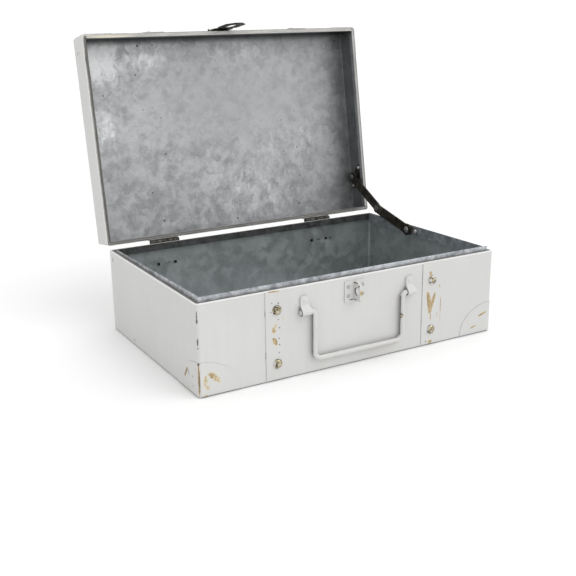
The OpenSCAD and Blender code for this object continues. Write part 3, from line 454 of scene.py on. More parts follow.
def plain_zinc(name, dark, light, size=1.0):
    """A material of bare spangled zinc alone."""
    finish = Finish(name)
    return finish.surface(zinc_look(finish, finish.object_place, dark, light, size))


dress(plain_zinc("floor_zinc", (0.24, 0.26, 0.265, 1), (0.44, 0.47, 0.475, 1)), "case_floor")

# ---- Collar ----
# Four strips of galvanised sheet are spot-welded inside the case's rim. They stand above it at
# the front and sides, and the lid shuts down over them.

# Painted shade: the right strip has a darker zinc and the back strip a near-black one.
for name, dark, light, size, strips in (
        ("collar_zinc", (0.20, 0.215, 0.235, 1), (0.62, 0.64, 0.67, 1), 0.42,
         ("collar_front", "collar_left")),
        ("collar_shade_zinc", (0.23, 0.25, 0.27, 1), (0.46, 0.49, 0.52, 1), 0.6, ("collar_right",)),
        ("collar_back_shaded_zinc", (0.050, 0.051, 0.050, 1), (0.115, 0.118, 0.118, 1), 0.7,
         ("collar_back",))):
    dress(plain_zinc(name, dark, light, size), *strips)

# ---- Straps and corner plates ----
# Flat strips and rounded plates of thin tin, nailed or soldered on before painting. Their paint
# has flaked to brassy metal where hands and shelves rub them.

STRAP_MIDDLE = 0.094
STRAP_HALF = 0.0125
STRAP_EDGE = 0.0012
TRIM_FACE = -0.1167
TRIM_RUB = 0.0020


def on_trim(rows):
    """Spots on the front trim, from rows of x, z, half width, half height, turn and weight."""
    return [((x, TRIM_FACE, z), (half_width, 0.004, half_height), turn, weight)
            for x, z, half_width, half_height, turn, weight in rows]


def case_trim_marks(finish, place):
    """The worn patches and flecks that the case's two straps and front plates show."""
    bare = finish.spots(place, on_trim([
        (-0.1612, 0.0181, 0.0084, 0.0034, -0.74, 0.68),
        (-0.1714, 0.0166, 0.0026, 0.0076, 0.0, 0.62),
        (-0.1690, 0.0100, 0.0026, 0.0030, 0.0, 0.58),
        (-0.1712, 0.0030, 0.0026, 0.0014, 0.0, 0.62),
        (-0.0871, 0.0628, 0.0010, 0.0030, 0.0, 0.60),
        (-0.0960, 0.0573, 0.0020, 0.0026, 0.4, 0.66),
        (-0.0978, 0.0530, 0.0024, 0.0040, 0.1, 0.74),
        (-0.0966, 0.0415, 0.0048, 0.0026, -1.18, 0.84),
        (-0.0968, 0.0919, 0.0068, 0.0008, -0.05, 0.85),
        (0.0915, 0.0805, 0.0022, 0.0026, 0.0, 0.80),
        (0.1040, 0.0647, 0.0009, 0.0022, 0.0, 0.85),
        (0.0904, 0.0500, 0.0120, 0.0029, -1.40, 1.0),
        (0.0955, 0.0492, 0.0105, 0.0023, 1.26, 0.95),
        (0.0922, 0.0420, 0.0066, 0.0030, 1.50, 0.95),
        (0.0932, 0.0320, 0.0008, 0.0046, 0.0, 0.80),
        (0.1062, 0.0440, 0.0006, 0.0095, 0.0, 0.95),
        (0.1060, 0.0300, 0.0004, 0.0055, 0.0, 0.70),
        (0.1018, 0.0336, 0.0005, 0.0036, 0.0, 0.72),
        (0.0935, 0.0042, 0.0028, 0.0020, 0.0, 0.90),
        (0.1660, 0.0221, 0.0068, 0.0013, 0.28, 1.0),
        (0.1537, 0.0093, 0.0048, 0.0011, 0.30, 0.84),
        (0.1655, 0.0107, 0.0032, 0.0006, 0.10, 0.55)]) + [
        ((-0.1786, -0.0893, 0.0194), (0.004, 0.0072, 0.0016), (-0.95, 0.0), 0.95),
        ((-0.1774, -0.1154, 0.0180), (0.0011, 0.0011, 0.0175), 0.0, 1.10)])
    dark = finish.spots(place, on_trim([
        (-0.0923, 0.0796, 0.0007, 0.0010, 0.0, 0.85),
        (-0.0995, 0.0808, 0.0006, 0.0008, 0.0, 0.75),
        (-0.1007, 0.0718, 0.0006, 0.0009, 0.0, 0.75),
        (-0.0926, 0.0632, 0.0010, 0.0006, 0.0, 0.80),
        (-0.0913, 0.0549, 0.0007, 0.0009, 0.0, 0.80),
        (-0.0920, 0.0440, 0.0007, 0.0009, 0.0, 0.85),
        (-0.0916, 0.0375, 0.0008, 0.0009, 0.0, 0.85),
        (-0.0922, 0.0294, 0.0007, 0.0008, 0.0, 0.80),
        (-0.0985, 0.0446, 0.0008, 0.0008, 0.0, 0.80),
        (0.0877, 0.0052, 0.0007, 0.0009, 0.0, 0.80),
        (0.1062, 0.0400, 0.0004, 0.0060, 0.0, 0.55)]) + [
        ((-0.1774, -0.1154, 0.0345), (0.0012, 0.0012, 0.0016), 0.0, 1.0),
        ((-0.1768, -0.1154, 0.0180), (0.0004, 0.0011, 0.0165), 0.0, 0.80),
        ((-0.1786, -0.0950, 0.0200), (0.004, 0.0008, 0.0040), (-0.3, 0.0), 0.70),
        ((-0.1786, -0.1040, 0.0190), (0.004, 0.0007, 0.0014), 0.0, 0.75),
        ((-0.1786, -0.1038, 0.0091), (0.004, 0.0007, 0.0020), 0.0, 0.65)])
    return bare, dark


def strap_rub(finish, place):
    """Light wear along both edges of the straps, gone STRAP_EDGE inside them."""
    off_middle = finish.off(finish.math("ABSOLUTE", finish.parts(place)[0]), STRAP_MIDDLE)
    return finish.ease(off_middle, STRAP_HALF - STRAP_EDGE, STRAP_HALF, 0.0, 0.40)


def trim_paint(name, place_of, marks, centre, half):
    """Strap and plate paint, worn along the tray's edges, the straps' edges and its own marks."""
    finish = Finish(name)
    place = place_of(finish)
    folds = edge_rub(finish, tray_depths(finish, place, centre, half), TRIM_RUB)
    rub = finish.math("MAXIMUM", folds, strap_rub(finish, place))
    bare, dark = marks(finish, place)
    return finish.surface(brushed_paint(finish, place, rub, bare, dark, 0.8))


dress(trim_paint("case_trim_paint", as_it_stands, case_trim_marks, CASE_CENTRE, CASE_HALF),
      "case_strap_left", "case_strap_right", "case_corner_left", "case_corner_right")

# ---- Lid ----
# A shallow tray of the same tin, hemmed round its rim, with two straps, two corner plates and
# four nails. It is painted after assembly and left bare inside.

HINGE_AXIS = Vector((0.0, 0.11925, 0.0932))
LID_OPEN = math.radians(99)
LID_RIM_Z = 0.0934
LID_HEIGHT = 0.033
SHUT_SHIFT = tuple(HINGE_AXIS - Matrix.Rotation(LID_OPEN, 3, "X") @ HINGE_AXIS)
LID_CENTRE = (0.0, 0.0, LID_RIM_Z + LID_HEIGHT / 2)
LID_HALF = (CASE_HALF_WIDTH, CASE_HALF_DEPTH, LID_HEIGHT / 2)
LID_SHEET_Z = LID_RIM_Z + LID_HEIGHT - SHEET


def shut_place(finish):
    """A lid piece's place as it is with the lid shut: the open lid turned back about its hinge."""
    return finish.add("ShaderNodeMapping", inputs={
        "Vector": finish.object_place, "Location": SHUT_SHIFT, "Rotation": (LID_OPEN, 0, 0)})


def lid_marks(finish, place):
    """Knocks on the lid's left side and rubbed stretches of its front fold and rear corners."""
    dark = finish.spots(place, [
        ((-CASE_HALF_WIDTH, -0.0978, 0.1141), (0.0015, 0.0028, 0.0010), 0.0, 0.80),
        ((-CASE_HALF_WIDTH, -0.0979, 0.1066), (0.0015, 0.0022, 0.0008), 0.0, 0.72),
        ((0.0, -0.1163, 0.0933), (0.300, 0.0010, 0.0009), 0.0, 0.80),
        ((-0.1770, -0.1150, 0.0960), (0.0010, 0.0010, 0.0020), 0.0, 0.85),
        ((-0.1770, 0.1150, 0.0960), (0.0010, 0.0010, 0.0014), 0.0, 0.75),
        ((0.1770, -0.1150, 0.0962), (0.0010, 0.0010, 0.0024), 0.0, 0.9)])
    bare = finish.spots(place, [
        ((-0.0900, -CASE_HALF_DEPTH, 0.1262), (0.0120, 0.0012, 0.0012), 0.0, 0.55),
        ((0.1765, 0.1145, 0.1250), (0.0022, 0.0022, 0.0040), 0.0, 0.9),
        ((-0.1765, 0.1145, 0.1250), (0.0022, 0.0022, 0.0036), 0.0, 0.85)])
    return bare, dark


def lid_inside(finish, place):
    """Brighter zinc with frosty white rust and painted sheen, dark pin-spots, calmer in the middle,
    and painted shade towards the right and by the front and right walls.
    """
    # These pale frosty patches are partly white rust and partly painted sheen.
    rust = finish.spots(place, [((x, y, LID_SHEET_Z), (a, b, 0.02), 0.0, w) for x, y, a, b, w in (
        (-0.15, -0.092, 0.030, 0.028, 1.0), (-0.10, -0.096, 0.042, 0.020, 0.62),
        (0.0, -0.098, 0.065, 0.017, 0.50), (-0.156, -0.015, 0.017, 0.030, 0.72),
        (0.09, 0.015, 0.056, 0.038, 0.42), (0.03, 0.076, 0.080, 0.038, 0.46))], 0.8)
    pins = finish.spots(place, [((x, y, LID_SHEET_Z), (r, r, 0.004), 0.0, w) for x, y, r, w in (
        (-0.1035, -0.1057, 0.0014, 1.0), (-0.0849, -0.1063, 0.001, 0.9),
        (-0.1058, -0.0775, 0.0009, 0.8), (-0.11, -0.073, 0.0012, 0.75),
        (-0.1052, -0.0329, 0.0009, 0.8), (-0.0839, -0.0222, 0.001, 0.85),
        (-0.1513, -0.0516, 0.0011, 0.85), (-0.0826, 0.0201, 0.0011, 0.9), (0.098, -0.0187, 0.001, 0.9),
        (0.0779, -0.0087, 0.0011, 0.9), (0.0781, 0.0303, 0.0009, 0.85), (0.0978, 0.0269, 0.0012, 0.95),
        (0.0856, 0.0437, 0.0009, 0.75), (0.0985, 0.0628, 0.001, 0.8), (0.0037, 0.107, 0.0012, 0.9),
        (0.1672, -0.1038, 0.0013, 0.8), (-0.105, 0.064, 0.001, 0.75), (0.101, 0.052, 0.0008, 0.75))])
    bright = zinc_look(finish, place, (0.255, 0.260, 0.265, 1), (0.490, 0.497, 0.505, 1), 0.9,
                       rust, pins)
    x, y, _ = finish.parts(place)
    # Painted shade: the zinc darkens towards the right.
    right_shaded = finish.blend(finish.ease(x, 0.02, 0.17, 0.0, 0.30), bright["Base_Color"],
                          (0.16, 0.165, 0.17, 1))
    calm = finish.spots(place, [((0.02, -0.038, LID_SHEET_Z), (0.115, 0.05, 0.02), 0.0, 0.6)], 0.7)
    right_shaded = finish.blend(calm, right_shaded, (0.375, 0.380, 0.387, 1))
    # Painted shade: near-black inside the right wall and along the front wall.
    walls = finish.math("MAXIMUM", finish.ease(x, 0.1765, 0.1768, 0.0, 0.55),
                        finish.ease(y, -0.1140, -0.1050, 0.90, 0.0))
    bright["Base_Color"] = finish.blend(walls, right_shaded, (0.040, 0.046, 0.046, 1))
    return bright


def lid_hem_tones(finish, place, across):
    """Grey outside with painted shade inside on the left, pale in front with cream at its left end,
    pale on the right with one painted shadow line, and dark at the back as painted shade, with one
    paler line."""
    x, y, _ = finish.parts(place)
    left = finish.ease(x, -0.1730, -0.1725, 1.0, 0.0)
    right = finish.ease(x, 0.1725, 0.1730)
    front = finish.ease(y, -0.1110, -0.1105, 1.0, 0.0)
    back = finish.ease(y, 0.1105, 0.1110)
    wander = finish.noise(finish.scaled(place, (0, 110, 0)), 1.0, 4.0, 0.7)
    left_inner_shade = finish.ease(finish.math("MULTIPLY_ADD", wander, 0.0016, across), 0.0022, 0.0030)
    right_shadow_line = finish.ease(finish.off(across, 0.0013), 0.0002, 0.0007, 1.0, 0.0)
    middle = finish.ease(finish.off(across, 0.0026), 0.0002, 0.0009, 1.0, 0.0)
    edge = finish.ease(across, 0.0002, 0.0010, 1.0, 0.0)
    knock = finish.spots(place, [
        ((-0.1755, -0.0887, LID_RIM_Z), (0.0022, 0.0046, 0.002), 0.0, 1.0),
        ((-0.1750, -0.0950, LID_RIM_Z), (0.0014, 0.0030, 0.002), 0.0, 0.9)])
    cream = finish.spots(place, [
        ((-0.1450, -0.1130, LID_RIM_Z), (0.0230, 0.0016, 0.002), 0.0, 0.62)])
    # Painted shade: the left run's inside edge, one line on the right run and the back run are
    # darkened.
    return (0.27, 0.27, 0.265, 1), [
        (left, (0.36, 0.35, 0.33, 1)),
        (front, (0.52, 0.51, 0.49, 1)),
        (right, (0.42, 0.42, 0.42, 1)),
        (back, (0.085, 0.085, 0.080, 1)),
        (finish.times(left, left_inner_shade), (0.020, 0.019, 0.017, 1)),
        (finish.times(right, right_shadow_line), (0.10, 0.10, 0.10, 1)),
        (finish.times(back, middle), (0.24, 0.235, 0.225, 1)),
        (finish.times(front, edge), (0.12, 0.115, 0.11, 1)),
        (knock, (0.030, 0.028, 0.026, 1))], cream


dress(two_sided("lid_paint", shut_place, LID_CENTRE, LID_HALF, -1, 0.0006,
                lid_marks, lid_inside, lid_hem_tones), "lid_shell")
dress(trim_paint("lid_trim_paint", shut_place, lid_marks, LID_CENTRE, LID_HALF),
      "lid_strap_left", "lid_strap_right", "lid_corner_left", "lid_corner_right")

# ---- Nails ----
# Domed upholstery nails of thin brass, dented by the hammer, with paint left in their dents.
# Each goes through its strap and the sheet, and its end is closed over inside.

NAIL_RADIUS = 0.005
NAIL_HEIGHT = 0.003
NAIL_THROUGH = 0.0014
NAIL_SHANK = 0.0012
NAIL_END = 0.0017
NAIL_END_HEIGHT = 0.0008
NAIL_ROUND = 36
NAIL_RINGS = 18
NAIL_DENTS = 7
NAIL_DARK = (0.060, 0.048, 0.030, 1)
NAIL_BRIGHT = (0.52, 0.455, 0.31, 1)
CASE_NAIL_HEIGHTS = (0.018, 0.073)
LID_TOP_NAIL_Y = 0.098


def nail_mesh(places, seed):
    """Nails as surfaces of revolution (radius, height), with dented domes slightly out of round.

    A dome's height is NAIL_HEIGHT * (1 - (r / R)^2)^0.62, less a few smooth round dents. places are
    rows of centre, outward direction and up direction. Returns vertices, faces and each face's
    material: 0 on the head and 1 on the shank and its end.
    """
    turns = np.linspace(0.0, 2 * np.pi, NAIL_ROUND, endpoint=False)
    dome = np.linspace(0.02, 1.0, NAIL_RINGS) ** 0.85
    radius = np.concatenate([NAIL_RADIUS * dome, [
        NAIL_RADIUS * 0.985, NAIL_SHANK, NAIL_SHANK, NAIL_END, NAIL_END, 0.0006]])
    height = np.concatenate([NAIL_HEIGHT * np.clip(1 - dome ** 2, 0, 1) ** 0.62, [
        -0.00002, 0.0, -NAIL_THROUGH, -NAIL_THROUGH,
        -NAIL_THROUGH - NAIL_END_HEIGHT / 2, -NAIL_THROUGH - NAIL_END_HEIGHT]])
    on_dome = (np.arange(len(radius)) < NAIL_RINGS).astype(float)
    random = np.random.default_rng(seed)
    all_points, all_faces, start = [], [], 0
    rings, steps = len(radius), len(turns)
    ring, step = np.meshgrid(np.arange(rings - 1), np.arange(steps), indexing="ij")
    a = ring * steps + step
    b = ring * steps + (step + 1) % steps
    quads = np.stack([a, a + steps, b + steps, b], -1).reshape(-1, 4)
    for centre, outward, up in places:
        side = np.cross(up, outward)
        wobble = (1 + 0.018 * np.sin(2 * turns + random.uniform(0, 6))
                  + 0.012 * np.sin(5 * turns + random.uniform(0, 6)))
        r = radius[:, None] * np.where(on_dome[:, None] > 0, wobble[None, :], 1.0)
        h = np.repeat(height[:, None], steps, 1)
        px, py = r * np.cos(turns), r * np.sin(turns)
        for _ in range(NAIL_DENTS):
            reach, bearing = random.uniform(0.0008, 0.0038), random.uniform(0, 2 * np.pi)
            size, depth = random.uniform(0.0007, 0.0015), random.uniform(0.00010, 0.00034)
            gap = (px - reach * np.cos(bearing)) ** 2 + (py - reach * np.sin(bearing)) ** 2
            inward = 1 - (radius[:, None] / NAIL_RADIUS) ** 4
            h = h - on_dome[:, None] * depth * np.exp(-gap / size ** 2) * inward
        points = centre + px[..., None] * side + py[..., None] * up + h[..., None] * outward
        top = centre + (NAIL_HEIGHT - 0.0001) * outward
        end = centre - (NAIL_THROUGH + NAIL_END_HEIGHT) * outward
        all_points.append(np.concatenate([points.reshape(-1, 3), [top, end]]))
        count = rings * steps
        fan = np.arange(steps)
        turned = (fan + 1) % steps
        last = (rings - 1) * steps
        caps = np.concatenate([
            np.stack([np.full(steps, count), fan, turned], -1),
            np.stack([np.full(steps, count + 1), last + turned, last + fan], -1)])
        all_faces += (quads + start).tolist() + (caps + start).tolist()
        start += count + 2
    shank = np.concatenate([(ring > NAIL_RINGS).reshape(-1),
                            np.zeros(steps, bool), np.ones(steps, bool)])
    return np.concatenate(all_points), all_faces, np.tile(shank, len(places)).astype(np.int32)


def add_piece(name, points, faces, materials, picks):
    """A smooth mesh object with its place in its mesh; picks chooses each face's material."""
    mesh = bpy.data.meshes.new(name)
    mesh.from_pydata(points.tolist(), [], faces)
    mesh.polygons.foreach_set("use_smooth", np.ones(len(mesh.polygons), dtype=bool))
    for material in materials:
        mesh.materials.append(material)
    mesh.polygons.foreach_set("material_index", picks)
    piece = bpy.data.objects.new(name, mesh)
    bpy.context.scene.collection.objects.link(piece)
    return piece


def open_row(x, y, z, outward, up):
    """A nail's place on the shut lid, turned open about the hinge."""
    turn = np.array(Matrix.Rotation(-LID_OPEN, 3, "X"))
    hinge = np.array(HINGE_AXIS)
    place = hinge + turn @ (np.array((x, y, z)) - hinge)
    return place, turn @ np.array(outward), turn @ np.array(up)


def nail_brass(name):
    """Bright and dark brass in blotches, with patches of white paint, darkened round the edge by
    painted shade and soiling.
    """
    finish = Finish(name)
    place = finish.object_place
    blotch = finish.noise(place, 330.0, 4.0, 0.62)
    patch = finish.noise(place, 190.0, 3.0, 0.6)
    colour = finish.blend(finish.ease(blotch, 0.36, 0.62), NAIL_DARK, NAIL_BRIGHT)
    paint = finish.ease(patch, 0.52, 0.58)
    colour = finish.blend(finish.times(paint, 0.9), colour, PAINT_LIGHT)
    # Painted shade and soiling: the brass darkens round the head's edge.
    edge_dirt_and_shade = finish.ease(finish.crevice(0.0018), 0.35, 0.85, 0.0, 0.75)
    colour = finish.blend(edge_dirt_and_shade, colour, DIRT_AND_SHADE)
    metal = finish.times(finish.math("SUBTRACT", 1.0, paint), 0.85)
    return finish.surface({
        "Base_Color": colour, "Roughness": finish.ease(paint, 0.0, 1.0, 0.24, 0.5),
        "Metallic": metal, "Normal": finish.bump(blotch, 0.45, 0.0004)})


nail_metal = nail_brass("nail_brass")
nail_end_metal = plain_zinc("nail_end_zinc", (0.18, 0.18, 0.18, 1), (0.32, 0.32, 0.32, 1), 0.4)
UP, FRONT, BACK = (0.0, 0.0, 1.0), (0.0, -1.0, 0.0), (0.0, 1.0, 0.0)
case_rows = [(np.array((x, TRIM_FACE, z)), np.array(FRONT), np.array(UP))
             for x in (-STRAP_MIDDLE, STRAP_MIDDLE) for z in CASE_NAIL_HEIGHTS]
lid_rows = [open_row(x, y, z, outward, up)
            for y, z, outward, up in ((TRIM_FACE, LID_RIM_Z + LID_HEIGHT / 2, FRONT, UP),
                                      (LID_TOP_NAIL_Y, LID_RIM_Z + LID_HEIGHT + SHEET, UP, BACK))
            for x in (-STRAP_MIDDLE, STRAP_MIDDLE)]
for name, rows, seed, body, node in (("case_domed_nails", case_rows, 5, "case", "case_strap_nails"),
                                     ("lid_domed_nails", lid_rows, 8, "lid", "lid_strap_nails")):
    points, faces, picks = nail_mesh(rows, seed)
    nails = add_piece(name, points, faces, (nail_metal, nail_end_metal), picks)
    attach(nails, body)
    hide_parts(node)

# ---- Handle and staple ----
# A bent wire handle in two ears of folded strip, and a folded loop on a plate. They are painted
# over with the trunk, and worn where the wire turns and where the hasp and fingers rub.

STAPLE_EYE_Y = -0.122
STAPLE_EYE_Z = 0.078


def fitting_paint(name, marks, wear, grime_and_shade, grime_and_shade_tone=DIRT_AND_SHADE):
    """Paint on a small fitting, rubbed thin in patches by wear, and worn and chipped at its marks.

    The fourth argument's rows are a direction, a least lean, a depth and a height: faces below the
    height that lean towards the direction by more than the least lean are darkened to that depth, as
    painted shade on the handle's wire and ears and as a darker tone on the staple's rivets.
    """
    finish = Finish(name)
    place = finish.object_place
    worn = finish.ease(finish.noise(place, 110.0, 4.0, 0.6), 0.52, 0.80, 0.0, wear)
    bare, dark = marks(finish, place)
    look = brushed_paint(finish, place, worn, bare, dark, 0.6)
    facing = finish.add("ShaderNodeTexCoord", out="Normal")
    uneven = finish.noise(place, 90.0, 4.0, 0.65)
    for direction, least, depth, height in grime_and_shade:
        under = finish.ease(finish.parts(place)[2], height, height + 0.0006, depth, 0.0)
        lean = finish.vector("DOT_PRODUCT", facing, direction, out="Value")
        lean = finish.frayed(lean, uneven, 0.5)
        grime_and_shade_mask = finish.times(finish.ease(lean, least, least + 0.14), under)
        look["Base_Color"] = finish.blend(grime_and_shade_mask, look["Base_Color"], grime_and_shade_tone)
    return finish.surface(look)


def handle_marks(finish, place):
    """Wear under the grip's right half, a notch on the right leg and bright folds on both ears."""
    bare = finish.spots(place, [
        ((0.0260, -0.1196, 0.0137), (0.0220, 0.0030, 0.0010), 0.0, 0.82),
        ((0.0440, -0.1196, 0.0150), (0.0070, 0.0030, 0.0016), 0.3, 0.70),
        ((-0.0360, -0.1196, 0.0137), (0.0120, 0.0030, 0.0008), 0.0, 0.60),
        ((0.0525, -0.1205, 0.0425), (0.0016, 0.0030, 0.0018), 0.0, 0.85),
        ((-0.0625, -0.1185, 0.0698), (0.0062, 0.0030, 0.0007), 0.0, 0.80),
        ((0.0645, -0.1185, 0.0698), (0.0062, 0.0030, 0.0007), 0.0, 0.80)])
    dark = finish.spots(place, [
        ((0.0512, -0.1196, 0.0440), (0.0010, 0.0040, 0.0012), 0.0, 0.9),
        ((0.0512, -0.1196, 0.0405), (0.0008, 0.0040, 0.0010), 0.0, 0.8),
        ((0.0715, -0.1200, 0.0635), (0.0008, 0.0030, 0.0007), 0.0, 0.8),
        ((-0.0585, -0.1200, 0.0640), (0.0012, 0.0030, 0.0012), 0.0, 0.7)])
    return bare, dark


def staple_marks(finish, place):
    """The loop's outer edge rubbed to brass, a painted shadow in its eye's near half, and painted
    shadow on the plate under the loop.
    """
    bare = finish.spots(place, [
        ((-0.0040, -0.1278, 0.0775), (0.0024, 0.0010, 0.0040), 0.0, 0.72),
        ((-0.0040, -0.1240, 0.0850), (0.0024, 0.0030, 0.0010), 0.0, 0.60)])
    dark = finish.spots(place, [
        ((-0.0054, -0.1200, 0.0866), (0.0009, 0.0044, 0.0009), 0.0, 0.95),
        ((-0.0054, -0.1256, 0.0842), (0.0009, 0.0030, 0.0008), (-0.8, 0.0), 0.90),
        # Painted shadow: these two marks lie on the plate under the loop.
        ((-0.0085, -0.1170, 0.0690), (0.0034, 0.0030, 0.0007), 0.0, 0.85),
        ((-0.0050, -0.1200, 0.0690), (0.0014, 0.0030, 0.0009), 0.0, 0.7)])
    x, y, z = finish.parts(place)
    reach = finish.length(finish.math("SUBTRACT", y, STAPLE_EYE_Y),
                          finish.math("SUBTRACT", z, STAPLE_EYE_Z))
    near_half = finish.times(finish.ease(x, -0.0043, -0.0038, 1.2, 0.0),
                             finish.ease(y, -0.1228, -0.1215))
    # Painted shadow: the near half of the eye's hole is darkened.
    eye_shadow = finish.times(finish.ease(reach, 0.0041, 0.0045, 1.0, 0.0), near_half)
    return bare, finish.math("MAXIMUM", dark, eye_shadow)


# Painted shade: the wire's back-left sides, the grip's top and back, and the ears' open left ends are
# darkened.
wire_side_shade = (((-0.85, 0.52, 0.0), 0.60, 0.9, 0.0632), ((0.0, 0.42, 0.91), 0.80, 0.75, 0.0200))
ear_end_shade = (((-1.0, 0.0, 0.0), 0.80, 1.0, 0.0708),)
rivet_grime = (((0.0, -1.0, 0.0), 0.30, 0.40, 0.2),)
dress(fitting_paint("handle_paint", handle_marks, 0.35, wire_side_shade), "handle_bail")
dress(fitting_paint("handle_ear_paint", handle_marks, 0.30, ear_end_shade, CHIP_AND_SHADE_DARK),
      "handle_ear_left", "handle_ear_right", "handle_ear_rivets")
dress(fitting_paint("staple_paint", staple_marks, 0.30, ()), "staple_plate", "staple_loop")
dress(fitting_paint("staple_rivet_paint", staple_marks, 0.9, rivet_grime), "staple_rivets")

# ---- Hinges and hasp ----
# Strap hinges with five interleaved knuckles, and a stamped slotted blade on a knuckled leaf.
# The brush reached their outer faces only: knuckles, pins and the blade's back are dark bronze.

HINGE_PAIR_MIDDLE = -0.0055
HINGE_OFF_MIDDLE = 0.104
KNUCKLE = 0.007
KNUCKLE_SHEEN = (0.30, 0.28, 0.24, 1)
KNUCKLE_SEAM = (0.008, 0.008, 0.007, 1)
BRONZE_SCRATCH = (0.30, 0.27, 0.21, 1)
HASP_OUTWARD = (0.0, 0.16, 0.98)
OUTSIDE_BACK = (0.1157, 0.1159)


def dark_bronze(finish, place, dark, light):
    """Near-black bronze, lighter and browner where it is rubbed, with small bright scratches."""
    rubbed = finish.ease(finish.noise(place, 95.0, 4.0, 0.65), 0.42, 0.70)
    colour = finish.blend(rubbed, dark, light)
    scratch = finish.noise(finish.scaled(place, (900, 900, 120)), 1.0, 3.0, 0.6)
    colour = finish.blend(finish.ease(scratch, 0.64, 0.72, 0.0, 0.45), colour, BRONZE_SCRATCH)
    normal = finish.bump(finish.noise(place, 520.0, 3.0, 0.6), 0.35, 0.0002)
    return {"Base_Color": colour, "Roughness": finish.ease(rubbed, 0.0, 1.0, 0.52, 0.34),
            "Metallic": finish.ease(rubbed, 0.0, 1.0, 0.75, 0.9), "Normal": normal}


def half_painted(name, painted_side, wear, knuckled=False):
    """Paint where painted_side is 1 and dark bronze where it is 0, with seams between knuckles."""
    finish = Finish(name)
    place = finish.object_place
    worn = finish.ease(finish.noise(place, 100.0, 4.0, 0.6), 0.50, 0.78, 0.0, wear)
    paint = brushed_paint(finish, place, worn, 0.0, 0.0, 0.8)
    bronze = dark_bronze(finish, place, (0.014, 0.013, 0.011, 1), (0.075, 0.068, 0.055, 1))
    if knuckled:
        off_pair = finish.off(finish.parts(place)[0], HINGE_PAIR_MIDDLE)
        off_hinge = finish.math("SUBTRACT", off_pair, HINGE_OFF_MIDDLE)
        turns = finish.math("MULTIPLY_ADD", off_hinge, 1 / KNUCKLE, 0.5)
        seam = finish.ease(finish.math("PINGPONG", turns, 0.5), 0.04, 0.14, 0.9, 0.0)
        # Painted highlight: KNUCKLE_SHEEN lightens the knuckles in a run that rises and falls along
        # the hinge.
        bright = finish.times(finish.math("PINGPONG", turns, 1.0), 0.16)
        colour = finish.blend(bright, bronze["Base_Color"], KNUCKLE_SHEEN)
        bronze["Base_Color"] = finish.blend(seam, colour, KNUCKLE_SEAM)
    return finish.surface(shown_by(finish, painted_side(finish, place), bronze, paint))


def beyond_knuckles(finish, place):
    """1 on the leaves, from about 4 mm off the hinge's axis."""
    _, y, z = finish.parts(place)
    off_y = finish.math("SUBTRACT", y, HINGE_AXIS[1])
    off_z = finish.math("SUBTRACT", z, HINGE_AXIS[2])
    reach = finish.length(off_y, off_z)
    ragged = finish.noise(place, 260.0, 4.0, 0.6)
    return finish.ease(finish.math("MULTIPLY_ADD", ragged, 0.003, reach), 0.0048, 0.0056)


def outer_faces(finish, place):
    """1 on the hasp's outer faces, which look up and a little back with the lid open."""
    facing = finish.add("ShaderNodeTexCoord", out="Normal")
    return finish.ease(finish.vector("DOT_PRODUCT", facing, HASP_OUTWARD, out="Value"), 0.15, 0.35)


dress(half_painted("hinge_paint", beyond_knuckles, 0.75, knuckled=True),
      "hinge_case_leaf_left", "hinge_case_leaf_right", "hinge_lid_leaf_left",
      "hinge_lid_leaf_right", "hinge_pin_left", "hinge_pin_right")
dress(half_painted("hasp_paint", outer_faces, 0.9),
      "hasp_leaf", "hasp_leaf_rivets", "hasp_pin", "hasp_blade")


def through_back(finish, place):
    """1 on the rivet heads outside the case's back wall."""
    return finish.ease(finish.parts(place)[1], *OUTSIDE_BACK)


def through_lid(finish, place):
    """1 on the rivet heads outside the lid's back wall, where they are with the lid shut."""
    return through_back(finish, shut_place(finish))


dress(half_painted("hinge_rivet_paint", through_back, 0.8), "hinge_case_rivets")
dress(half_painted("lid_rivet_paint", through_lid, 0.8), "hinge_lid_rivets")

# ---- Lid stay ----
# Two flat bars of dark bronzed steel, riveted together and to a small plate on each side. The
# plates are held by bright rivets.

STAY_DARK = (0.027, 0.024, 0.019, 1)
STAY_LIGHT = (0.105, 0.093, 0.070, 1)

bronzed = Finish("bronzed_steel")
dress(bronzed.surface(dark_bronze(bronzed, bronzed.object_place, STAY_DARK, STAY_LIGHT)),
      "stay_lid_plate", "stay_lower_arm", "stay_upper_arm", "stay_middle_rivet_end")
for name, dark, light, size, pieces in (
        ("stay_plate_steel", (0.09, 0.09, 0.085, 1), (0.33, 0.33, 0.32, 1), 0.4,
         ("stay_case_plate",)),
        ("rivet_steel", (0.30, 0.30, 0.29, 1), (0.72, 0.72, 0.70, 1), 0.3,
         ("stay_case_rivets", "stay_lid_rivets")),
        ("pivot_steel", (0.09, 0.09, 0.088, 1), (0.52, 0.52, 0.51, 1), 0.16,
         ("stay_case_pivot_pin",)),
        ("dull_rivet_steel", (0.08, 0.08, 0.075, 1), (0.22, 0.215, 0.20, 1), 0.4,
         ("stay_middle_rivet", "stay_lid_pivot_pin"))):
    dress(plain_zinc(name, dark, light, size), *pieces)

# ---- Floor, light and camera ----
# A white floor under a white sky that is a little dimmer on the left, and one broad, soft sun
# from above on the right. The camera stands where the photograph was taken from.

